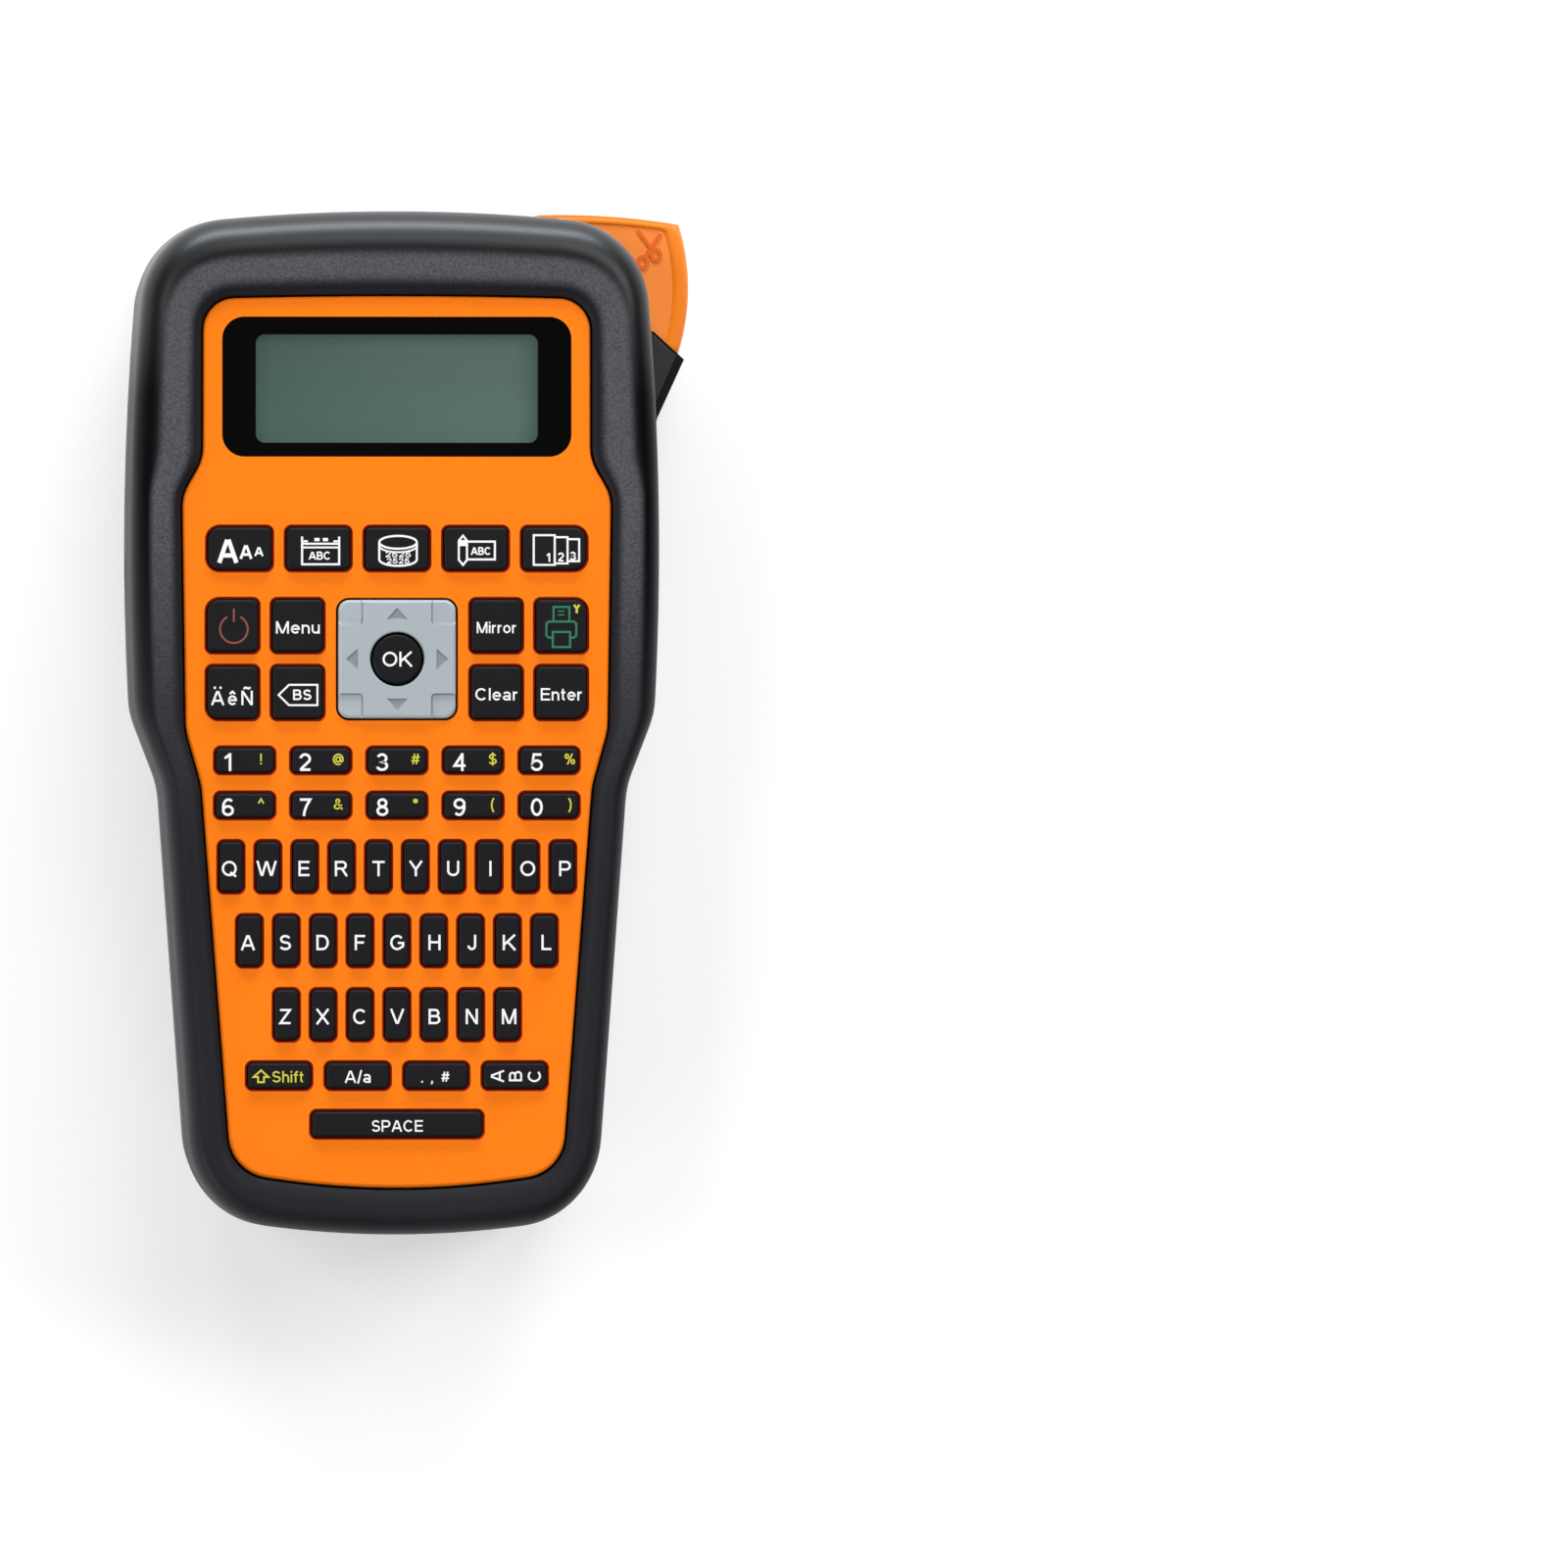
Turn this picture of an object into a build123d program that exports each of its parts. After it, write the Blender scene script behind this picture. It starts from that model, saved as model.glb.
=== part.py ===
# Handheld label maker lying on its back, in millimetres.
# +Z leaves the key face, +Y runs to the display end, +X is the tape-exit side.
import math
import os
from collections import namedtuple

from build123d import *

os.makedirs("parts", exist_ok=True)

# Key grid, read from the photograph at 0.198 mm to the pixel.
FUNCTION_PITCH = 15.92
FUNCTION_WEB = 1.92
FUNCTION_HEIGHT = 9.7
SQUARE_PITCH = 13.15
SQUARE_WEB = 1.75
SQUARE_HEIGHT = 11.7
SQUARE_ROW_PITCH = 13.5
SQUARE_OUTER_X = 33.25
NAV_HOLE_WIDTH = 24.7
NAV_HOLE_HEIGHT = 24.8
NAV_CORNER_R = 2.7
OK_DIAMETER = 10.0
DIGIT_PITCH = 15.4
DIGIT_WEB = 2.5
DIGIT_HEIGHT = 6.1
DIGIT_ROW_PITCH = 9.1
LETTER_PITCH = 7.46
LETTER_WEB = 1.5
LETTER_HEIGHT = 11.3
LETTER_ROW_PITCH = 14.95
MODIFIER_PITCH = 15.9
MODIFIER_WEB = 2.0
MODIFIER_HEIGHT = 6.3
SPACE_WIDTH = 35.6
SPACE_HEIGHT = 6.3
SPACE_ROW_PITCH = 9.8

# Display window and the gaps down the face, top to bottom.
WINDOW_WIDTH = 70.7
WINDOW_HEIGHT = 28.3
WINDOW_CORNER_R = 4.5
WINDOW_MARGIN = 4.15
WINDOW_GAP = 13.7
FUNCTION_GAP = 4.9
SQUARE_GAP = 4.8
DIGIT_GAP = 3.7
LETTER_GAP = 3.5
SPACE_MARGIN = 9.75
TOP_BAND = 17.3
END_BAND = 9.5

# Margins that set the widths of the panel and of the case round it.
KEY_MARGIN = 4.56
WINDOW_SIDE_MARGIN = 3.85
LETTER_MARGIN = 2.95
MODIFIER_MARGIN = 2.7
SIDE_BAND = 10.15
WAIST_BAND = 7.45
END_SIDE_BAND = 7.2
TOP_TAPER = 3.55
HIP_TAPER = 0.95
PANEL_HIP_TAPER = 0.7
TOP_CROWN = 3.4
END_CROWN = 4.3
PANEL_CROWN = 0.6
PANEL_END_CROWN = 3.4
CASE_CORNER_R = 19.0
CASE_HIP_R = 18.0
CASE_WAIST_R = 20.0
CASE_END_R = 20.0
PANEL_CORNER_R = 6.5
PANEL_SHOULDER_R = 9.0
PANEL_HIP_R = 12.0
PANEL_WAIST_R = 14.0

# Depths through the case.
CASE_DEPTH = 59.0
PARTING_Z = 32.0
BACK_Z = 0.0
CASE_STEP = 0.8
CASE_WALL = 2.4
CASE_FLOOR = 2.6
BACK_EDGE_R = 12.0
BUMPER_WALL = 2.6
BUMPER_EDGE_R = 6.0
LIP_R = 0.5
PANEL_SINK = 1.4
PANEL_T = 2.4
PANEL_GAP = 0.5
PANEL_EDGE_R = 0.8
LEDGE_WIDTH = 2.5
LEDGE_T = 2.5
WINDOW_T = 1.5
WINDOW_FRAME = 2.6
KEY_PROUD = 1.0
KEY_GAP = 0.62
PAD_GAP = 0.45
KEY_EDGE_R = 0.55
FLANGE_REACH = 0.35
FLANGE_T = 1.0
FLANGE_GAP = 0.3
KEY_TRAVEL = 0.9
KEY_REST = 0.1
BOARD_T = 1.6
MAT_T = 1.0
BOARD_INSET = 8.0
PANEL_UNDER = 5.2
TILT_ROOM = 0.9

# Fasteners.
CASE_SCREW_R = 1.2
CASE_HEAD_R = 2.6
CASE_HEAD_T = 2.0
COLUMN_R = 4.3
BOSS_R = 3.0
BOSS_ROOM = 0.5
SCREW_INSET = 4.7
SCREW_SEAT_Z = 10.0
SCREW_GRIP = 9.0
POST_R = 1.7
BOARD_SCREW_R = 0.75
BOARD_HEAD_R = 1.5
BOARD_HEAD_T = 1.2
FIT = 0.05

# Tape drive, cutter and cassette.
PIVOT_IN = 35.35
PIVOT_DOWN = 15.3
TAPE_BELOW_PIVOT = 16.2
HEAD_OFFSET = 13.8
MODULE = 0.5
PLATEN_TEETH = 20
IDLER_TEETH = 36
TAKEUP_TEETH = 40
PINION_TEETH = 14
BACKLASH = 0.14
GEAR_T = 3.0
GEAR_LIFT = 0.4
PLATEN_R = 4.0
SHAFT_R = 1.5
SPINDLE_R = 3.0
HEAD_WIDTH = 10.0
HEAD_T = 3.5
SINK_T = 1.5
TAPE_WIDTH = 12.0
TAPE_Z = 15.0
TAPE_GAP = 0.2
MOTOR_R = 6.0
MOTOR_LENGTH = 17.0
MOTOR_SHAFT_R = 0.75
PLATE_T = 1.2
BAY_FLOOR_Z = 24.0
BAY_WALL = 2.0
BAY_GAP = 0.3
CASSETTE_WIDTH = 54.0
CASSETTE_HEIGHT = 40.0
CASSETTE_T = 18.7
CASSETTE_WALL = 1.2
CASSETTE_CLEAR = 10.5
CASSETTE_OVER_TAPE = 6.7
ROLL_R = 15.0
ROLL_HUB_R = 4.0
SPOOL_R = 6.5
LEVER_Z0 = 9.0
LEVER_Z1 = 24.0
LEVER_HUB_R = 5.0
PIN_R = 2.0
BLADE_R = 39.85
BLADE_T = 0.5
BLADE_ROOM = 1.15
LEVER_RIM = 2.2
NOTCH_Z0 = 6.8
NOTCH_Z1 = 25.7
GUIDE_WALL = 1.9
GUIDE_RIM = 1.95
GUIDE_TIP_RIM = 1.33
GUIDE_TIP_DROP = 14.424
GUIDE_DROP = 10.1
TAPE_SLOT_LENGTH = 12.0
TAPE_SLOT_IN = 3.05
TAPE_SLOT_T = 1.6
PLATE_REACH_LEFT = 11.5
PLATE_REACH_RIGHT = 11.0

# Batteries, cover and jack.
CELL_R = 5.25
CELL_LENGTH = 44.5
CELL_PITCH = 10.7
CELL_COUNT = 6
CELL_END_ROOM = 4.25
COVER_T = 2.0
COVER_GAP = 0.3
COVER_TOP_HALF = 36.0
COVER_END_HALF = 29.0
COVER_CORNER_R = 5.0
FLANGE_LAP = 3.0
JACK_Z = 19.0
JACK_LENGTH = 11.0
JACK_WIDTH = 9.6
JACK_HEIGHT = 10.4
JACK_ROOM = 1.2
JACK_NOSE_R = 4.0
JACK_BORE_R = 2.8

# Lengths that follow from the key grid.
PANEL_LENGTH = (WINDOW_MARGIN + WINDOW_HEIGHT + WINDOW_GAP + FUNCTION_HEIGHT + FUNCTION_GAP
                + SQUARE_ROW_PITCH + SQUARE_HEIGHT + SQUARE_GAP + DIGIT_ROW_PITCH + DIGIT_HEIGHT
                + DIGIT_GAP + 2 * LETTER_ROW_PITCH + LETTER_HEIGHT + LETTER_GAP
                + SPACE_ROW_PITCH + MODIFIER_HEIGHT + SPACE_MARGIN)
CASE_LENGTH = TOP_BAND + PANEL_LENGTH + END_BAND
CASE_TOP = CASE_LENGTH / 2
CASE_END = -CASE_LENGTH / 2
PANEL_TOP = CASE_TOP - TOP_BAND
PANEL_END = CASE_END + END_BAND
WINDOW_Y = PANEL_TOP - WINDOW_MARGIN - WINDOW_HEIGHT / 2
WINDOW_BOTTOM = WINDOW_Y - WINDOW_HEIGHT / 2
FUNCTION_Y = WINDOW_BOTTOM - WINDOW_GAP - FUNCTION_HEIGHT / 2
SQUARE_Y = FUNCTION_Y - FUNCTION_HEIGHT / 2 - FUNCTION_GAP - SQUARE_HEIGHT / 2
SQUARE_LOW_Y = SQUARE_Y - SQUARE_ROW_PITCH
NAV_Y = (SQUARE_Y + SQUARE_LOW_Y) / 2
DIGIT_Y = SQUARE_LOW_Y - SQUARE_HEIGHT / 2 - SQUARE_GAP - DIGIT_HEIGHT / 2
DIGIT_LOW_Y = DIGIT_Y - DIGIT_ROW_PITCH
LETTER_Y = DIGIT_LOW_Y - DIGIT_HEIGHT / 2 - DIGIT_GAP - LETTER_HEIGHT / 2
MODIFIER_Y = LETTER_Y - 2 * LETTER_ROW_PITCH - LETTER_HEIGHT / 2 - LETTER_GAP - MODIFIER_HEIGHT / 2
SPACE_Y = MODIFIER_Y - SPACE_ROW_PITCH

# Half widths that follow from the key grid.
FUNCTION_WIDTH = FUNCTION_PITCH - FUNCTION_WEB
SQUARE_WIDTH = SQUARE_PITCH - SQUARE_WEB
DIGIT_WIDTH = DIGIT_PITCH - DIGIT_WEB
LETTER_WIDTH = LETTER_PITCH - LETTER_WEB
MODIFIER_WIDTH = MODIFIER_PITCH - MODIFIER_WEB
PANEL_HALF = 2 * FUNCTION_PITCH + FUNCTION_WIDTH / 2 + KEY_MARGIN
PANEL_DISPLAY_HALF = WINDOW_WIDTH / 2 + WINDOW_SIDE_MARGIN
PANEL_HIP_HALF = PANEL_HALF - PANEL_HIP_TAPER
PANEL_WAIST_HALF = 4.5 * LETTER_PITCH + LETTER_WIDTH / 2 + LETTER_MARGIN
PANEL_END_HALF = 1.5 * MODIFIER_PITCH + MODIFIER_WIDTH / 2 + MODIFIER_MARGIN
CASE_HALF = PANEL_HALF + SIDE_BAND
CASE_TOP_HALF = CASE_HALF - TOP_TAPER
CASE_HIP_HALF = CASE_HALF - HIP_TAPER
CASE_WAIST_HALF = PANEL_WAIST_HALF + WAIST_BAND
CASE_END_HALF = PANEL_END_HALF + END_SIDE_BAND
HIP_Y = DIGIT_Y + 9.5
PANEL_HIP_Y = HIP_Y - 3.4
WAIST_Y = DIGIT_Y - 5.2
SHOULDER_Y = WINDOW_BOTTOM - 0.55
SHOULDER_LOW_Y = SHOULDER_Y - 7.3

# Heights that follow from the depths.
PANEL_TOP_Z = CASE_DEPTH - PANEL_SINK
PANEL_SEAT_Z = PANEL_TOP_Z - PANEL_T
CAVITY_TOP_Z = PANEL_SEAT_Z - LEDGE_T
BOARD_TOP_Z = PANEL_SEAT_Z - PANEL_UNDER
BOARD_Z = BOARD_TOP_Z - BOARD_T
MAT_TOP_Z = BOARD_TOP_Z + MAT_T
KEY_TOP_Z = PANEL_TOP_Z + KEY_PROUD
KEY_FOOT_Z = MAT_TOP_Z + KEY_TRAVEL + KEY_REST
FLANGE_TOP_Z = PANEL_SEAT_Z - FLANGE_GAP
CASE_FLOOR_Z = BACK_Z + CASE_FLOOR
CHASSIS_TOP_Z = BAY_FLOOR_Z + BAY_WALL
PLATE_TOP_Z = CHASSIS_TOP_Z + PLATE_T
GEAR_Z = PLATE_TOP_Z + GEAR_LIFT
CASSETTE_TOP_Z = BAY_FLOOR_Z - BAY_GAP
CASSETTE_Z = CASSETTE_TOP_Z - CASSETTE_T

# Tape path, gear centres and bays.
PIVOT_X = CASE_HALF - PIVOT_IN
PIVOT_Y = CASE_TOP - PIVOT_DOWN
TAPE_Y = PIVOT_Y - TAPE_BELOW_PIVOT
LEVER_LIP_R = BLADE_R + BLADE_ROOM
LEVER_R = LEVER_LIP_R + LEVER_RIM
GUIDE_OUT_X = PIVOT_X + math.sqrt((LEVER_R + GUIDE_RIM) ** 2 - (TAPE_BELOW_PIVOT + GUIDE_DROP) ** 2)
GUIDE_TIP_ANGLE = -math.degrees(math.asin(GUIDE_TIP_DROP / (LEVER_R + GUIDE_TIP_RIM)))
HEAD_X = PIVOT_X + HEAD_OFFSET
PLATEN_Y = TAPE_Y + TAPE_GAP / 2 + PLATEN_R
IDLER_Y = PLATEN_Y - MODULE * (PLATEN_TEETH + IDLER_TEETH) / 2
TAKEUP_X = HEAD_X - MODULE * (TAKEUP_TEETH + IDLER_TEETH) / 2
MOTOR_Y = IDLER_Y - MODULE * (PINION_TEETH + IDLER_TEETH) / 2
CASSETTE_RIGHT = HEAD_X - CASSETTE_CLEAR
CASSETTE_TOP = TAPE_Y + CASSETTE_OVER_TAPE
CASSETTE_X = CASSETTE_RIGHT - CASSETTE_WIDTH / 2
CASSETTE_Y = CASSETTE_TOP - CASSETTE_HEIGHT / 2
BAY_WIDTH = CASSETTE_WIDTH + 2 * BAY_GAP
BAY_HEIGHT = CASSETTE_HEIGHT + 2 * BAY_GAP
ROLL_X = CASSETTE_X - CASSETTE_WIDTH / 2 + ROLL_R + 2.6
ROLL_Y = CASSETTE_Y
JACK_Y = CASSETTE_Y - BAY_HEIGHT / 2 - BAY_WALL - JACK_ROOM - JACK_WIDTH / 2
CELL_Z = COVER_T + BAY_GAP + CELL_R
CELL_ROOF_Z = CELL_Z + CELL_R + BAY_GAP
CELLS_TOP = CASSETTE_Y - BAY_HEIGHT / 2 - 18.4
CELLS_LENGTH = CELL_COUNT * CELL_PITCH
CELLS_Y = CELLS_TOP - CELLS_LENGTH / 2
CELL_BAY_WIDTH = CELL_LENGTH + 2 * CELL_END_ROOM
COVER_TOP_Y = CASSETTE_TOP + BAY_GAP + BAY_WALL + 1.0
COVER_END_Y = CELLS_TOP - CELLS_LENGTH - BAY_WALL - 5.0
COVER_BEND_Y = CELLS_Y

SCREW_SITES = [
    (-CASE_TOP_HALF + 6.0, CASE_TOP - 16.5),
    (PIVOT_X - 11.4, CASE_TOP - SCREW_INSET - 0.2),
    (CASE_HALF - SCREW_INSET, FUNCTION_Y + 4.8),
    (-CASE_HALF + SCREW_INSET, FUNCTION_Y + 4.8),
    (CASE_END_HALF - 3.1, SPACE_Y + 6.1),
    (-CASE_END_HALF + 3.1, SPACE_Y + 6.1),
]
POST_SITES = [(side * x, y) for side in (-1, 1) for x, y in (
    (PANEL_DISPLAY_HALF - 5.2, WINDOW_BOTTOM - WINDOW_GAP / 2),
    (SQUARE_OUTER_X - 10.0, SQUARE_LOW_Y - SQUARE_HEIGHT / 2 - SQUARE_GAP / 2),
    (3 * LETTER_PITCH + LETTER_WIDTH / 2 + 4.0, LETTER_Y - 2 * LETTER_ROW_PITCH),
)]

KeyBlock = namedtuple("KeyBlock", "node sites width height radii")


def row_sites(count, pitch, y):
    first = -pitch * (count - 1) / 2
    return [(first + pitch * index, y) for index in range(count)]


# Corner radii run top left, top right, bottom right, bottom left.
SOFT = 3.0
SMALL = 1.6
PLAIN = (SMALL, SMALL, SMALL, SMALL)
SQUARE_INNER_X = SQUARE_OUTER_X - SQUARE_PITCH
function_sites = row_sites(5, FUNCTION_PITCH, FUNCTION_Y)
KEY_BLOCKS = [
    KeyBlock("text_size_key", function_sites[0:1], FUNCTION_WIDTH, FUNCTION_HEIGHT,
             (SOFT, SMALL, SMALL, SOFT)),
    KeyBlock("frame_key", function_sites[1:2], FUNCTION_WIDTH, FUNCTION_HEIGHT, PLAIN),
    KeyBlock("wrap_key", function_sites[2:3], FUNCTION_WIDTH, FUNCTION_HEIGHT, PLAIN),
    KeyBlock("flag_key", function_sites[3:4], FUNCTION_WIDTH, FUNCTION_HEIGHT, PLAIN),
    KeyBlock("copies_key", function_sites[4:5], FUNCTION_WIDTH, FUNCTION_HEIGHT,
             (SMALL, SOFT, SOFT, SMALL)),
    KeyBlock("power_key", [(-SQUARE_OUTER_X, SQUARE_Y)], SQUARE_WIDTH, SQUARE_HEIGHT,
             (SOFT, SMALL, SMALL, SMALL)),
    KeyBlock("menu_key", [(-SQUARE_INNER_X, SQUARE_Y)], SQUARE_WIDTH, SQUARE_HEIGHT, PLAIN),
    KeyBlock("mirror_key", [(SQUARE_INNER_X, SQUARE_Y)], SQUARE_WIDTH, SQUARE_HEIGHT, PLAIN),
    KeyBlock("print_key", [(SQUARE_OUTER_X, SQUARE_Y)], SQUARE_WIDTH, SQUARE_HEIGHT,
             (SMALL, SOFT, SMALL, SMALL)),
    KeyBlock("accent_key", [(-SQUARE_OUTER_X, SQUARE_LOW_Y)], SQUARE_WIDTH, SQUARE_HEIGHT,
             (SMALL, SMALL, SMALL, SOFT)),
    KeyBlock("backspace_key", [(-SQUARE_INNER_X, SQUARE_LOW_Y)], SQUARE_WIDTH, SQUARE_HEIGHT, PLAIN),
    KeyBlock("clear_key", [(SQUARE_INNER_X, SQUARE_LOW_Y)], SQUARE_WIDTH, SQUARE_HEIGHT, PLAIN),
    KeyBlock("enter_key", [(SQUARE_OUTER_X, SQUARE_LOW_Y)], SQUARE_WIDTH, SQUARE_HEIGHT,
             (SMALL, SMALL, SOFT, SMALL)),
    KeyBlock("digit_keys_upper", row_sites(5, DIGIT_PITCH, DIGIT_Y), DIGIT_WIDTH, DIGIT_HEIGHT, PLAIN),
    KeyBlock("digit_keys_lower", row_sites(5, DIGIT_PITCH, DIGIT_LOW_Y), DIGIT_WIDTH, DIGIT_HEIGHT, PLAIN),
    KeyBlock("letter_keys_upper", row_sites(10, LETTER_PITCH, LETTER_Y),
             LETTER_WIDTH, LETTER_HEIGHT, PLAIN),
    KeyBlock("letter_keys_middle", row_sites(9, LETTER_PITCH, LETTER_Y - LETTER_ROW_PITCH),
             LETTER_WIDTH, LETTER_HEIGHT, PLAIN),
    KeyBlock("letter_keys_lower", row_sites(7, LETTER_PITCH, LETTER_Y - 2 * LETTER_ROW_PITCH),
             LETTER_WIDTH, LETTER_HEIGHT, PLAIN),
    KeyBlock("modifier_keys", row_sites(4, MODIFIER_PITCH, MODIFIER_Y),
             MODIFIER_WIDTH, MODIFIER_HEIGHT, PLAIN),
    KeyBlock("space_key", [(0, SPACE_Y)], SPACE_WIDTH, SPACE_HEIGHT, PLAIN),
]


def save(builder, name):
    builder.part.label = name
    export_step(builder.part, f"parts/{name}.step")


def polar(radius, degrees):
    # A point about the lever pivot.
    angle = math.radians(degrees)
    return (PIVOT_X + radius * math.cos(angle), PIVOT_Y + radius * math.sin(angle))


def case_face(grow=0.0):
    top = (CASE_TOP_HALF, CASE_TOP - TOP_CROWN)
    hip = (CASE_HIP_HALF, HIP_Y)
    waist = (CASE_WAIST_HALF, WAIST_Y)
    end = (CASE_END_HALF, CASE_END + END_CROWN)
    with BuildSketch() as face:
        with BuildLine():
            ThreePointArc((-top[0], top[1]), (0, CASE_TOP), top)
            for side in (1, -1):
                ThreePointArc((side * top[0], top[1]), (side * CASE_HALF, FUNCTION_Y + 0.8),
                              (side * hip[0], hip[1]))
                Polyline((side * hip[0], hip[1]), (side * waist[0], waist[1]), (side * end[0], end[1]))
            ThreePointArc(end, (0, CASE_END), (-end[0], end[1]))
        make_face()
        for corner, radius in ((top, CASE_CORNER_R), (hip, CASE_HIP_R),
                               (waist, CASE_WAIST_R), (end, CASE_END_R)):
            fillet(face.vertices().filter_by(lambda v: abs(v.Y - corner[1]) < 0.01), radius)
        if grow:
            offset(amount=grow, mode=Mode.REPLACE)
    return face.sketch


def panel_face(grow=0.0):
    top = (PANEL_DISPLAY_HALF, PANEL_TOP - PANEL_CROWN)
    shoulder = (PANEL_DISPLAY_HALF, SHOULDER_Y)
    side = (PANEL_HALF, SHOULDER_LOW_Y)
    hip = (PANEL_HIP_HALF, PANEL_HIP_Y)
    waist = (PANEL_WAIST_HALF, WAIST_Y)
    end = (PANEL_END_HALF, PANEL_END + PANEL_END_CROWN)
    with BuildSketch() as face:
        with BuildLine():
            ThreePointArc((-top[0], top[1]), (0, PANEL_TOP), top)
            for s in (1, -1):
                Polyline(*[(s * x, y) for x, y in (top, shoulder, side, hip, waist, end)])
            ThreePointArc(end, (0, PANEL_END), (-end[0], end[1]))
        make_face()
        for corner, radius in ((top, PANEL_CORNER_R), (shoulder, PANEL_SHOULDER_R),
                               (side, PANEL_SHOULDER_R), (hip, PANEL_HIP_R),
                               (waist, PANEL_WAIST_R), (end, PANEL_SHOULDER_R)):
            fillet(face.vertices().filter_by(lambda v: abs(v.Y - corner[1]) < 0.01), radius)
        if grow:
            offset(amount=grow, mode=Mode.REPLACE)
    return face.sketch


def cover_face(grow=0.0):
    points = [(COVER_TOP_HALF, COVER_TOP_Y), (COVER_TOP_HALF, COVER_BEND_Y), (COVER_END_HALF, COVER_END_Y)]
    mirrored = [(-x, y) for x, y in reversed(points)]
    with BuildSketch() as face:
        with BuildLine():
            Polyline(*points, *mirrored, close=True)
        make_face()
        fillet(face.vertices(), COVER_CORNER_R)
        if grow:
            offset(amount=grow, mode=Mode.REPLACE)
    return face.sketch


def cornered(width, height, radii):
    corners = ((-1, 1), (1, 1), (1, -1), (-1, -1))
    with BuildSketch() as face:
        Rectangle(width, height)
        for (x, y), radius in zip(corners, radii):
            spot = (x * width / 2, y * height / 2, 0)
            fillet(face.vertices().sort_by_distance(spot)[0], radius)
    return face.sketch


def tub(inset, floor_z, edge_radius):
    # A block in the case outline whose back edge is rounded.
    with BuildPart() as block:
        with BuildSketch(Plane.XY.offset(floor_z)):
            add(case_face(-inset))
        extrude(amount=PARTING_Z - floor_z)
        fillet(block.faces().sort_by(Axis.Z)[0].edges(), edge_radius)
    return block.part


def ring_sector(inner, outer, start, stop):
    # A flat piece of a ring about the lever pivot, angles in degrees.
    middle = (start + stop) / 2
    with BuildSketch() as sector:
        with BuildLine():
            ThreePointArc(polar(outer, start), polar(outer, middle), polar(outer, stop))
            Line(polar(outer, stop), polar(inner, stop))
            ThreePointArc(polar(inner, stop), polar(inner, middle), polar(inner, start))
            Line(polar(inner, start), polar(outer, start))
        make_face()
    return sector.sketch


def mesh_phase(teeth, toward):
    # Turn that puts a tooth gap on the line to the idler's nearest tooth.
    slip = (toward + 180.0) % (360.0 / IDLER_TEETH)
    return toward + 180.0 / teeth + slip * IDLER_TEETH / teeth


def gear_face(teeth, phase):
    # Involute flanks: half the tooth angle falls by inv(pressure angle at r) as r grows.
    pitch_r = MODULE * teeth / 2
    base_r = pitch_r * math.cos(math.radians(20.0))
    tip_r = pitch_r + 0.8 * MODULE
    root_r = pitch_r - 1.2 * MODULE
    involute = lambda angle: math.tan(angle) - angle
    half_pitch = (math.pi * MODULE / 2 - BACKLASH) / (2 * pitch_r)
    start_r = max(base_r, root_r)
    flank = [start_r + (tip_r - start_r) * step / 4 for step in range(5)]
    half = [half_pitch + involute(math.radians(20.0)) - involute(math.acos(base_r / r)) for r in flank]
    outline = list(zip(flank, half))
    if root_r < base_r:
        outline.insert(0, (root_r, half[0]))
    points = []
    for tooth in range(teeth):
        middle = math.radians(phase) + 2 * math.pi * tooth / teeth
        for r, a in outline:
            points.append((r * math.cos(middle - a), r * math.sin(middle - a)))
        for r, a in reversed(outline):
            points.append((r * math.cos(middle + a), r * math.sin(middle + a)))
    with BuildSketch() as face:
        with BuildLine():
            Polyline(*points, close=True)
        make_face()
    return face.sketch


def key_solid(width, height, radii):
    inner = [max(radius - KEY_GAP, 0.35) for radius in radii]
    with BuildPart() as key:
        with BuildSketch(Plane.XY.offset(FLANGE_TOP_Z)):
            add(cornered(width - 2 * KEY_GAP, height - 2 * KEY_GAP, inner))
        extrude(amount=KEY_TOP_Z - FLANGE_TOP_Z)
        fillet(key.faces().sort_by(Axis.Z)[-1].edges(), KEY_EDGE_R)
        with BuildSketch(Plane.XY.offset(FLANGE_TOP_Z)):
            Rectangle(width + 2 * FLANGE_REACH, height + 2 * FLANGE_REACH)
        extrude(amount=-FLANGE_T)
        with BuildSketch(Plane.XY.offset(FLANGE_TOP_Z - FLANGE_T)):
            Rectangle(width * 0.6, height * 0.6)
        extrude(amount=KEY_FOOT_Z - FLANGE_TOP_Z + FLANGE_T)
    return key.part


# Front bumper: a rounded block with a sunk bed for the panel and a hollow underside.
with BuildPart() as bumper_cavity:
    with BuildSketch(Plane.XY.offset(PARTING_Z)):
        add(case_face(-BUMPER_WALL))
    extrude(amount=CAVITY_TOP_Z - PARTING_Z)
    with BuildSketch(Plane.XY.offset(PARTING_Z)):
        with Locations(*SCREW_SITES):
            Circle(BOSS_R)
    extrude(amount=CAVITY_TOP_Z - PARTING_Z, mode=Mode.SUBTRACT)

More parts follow.
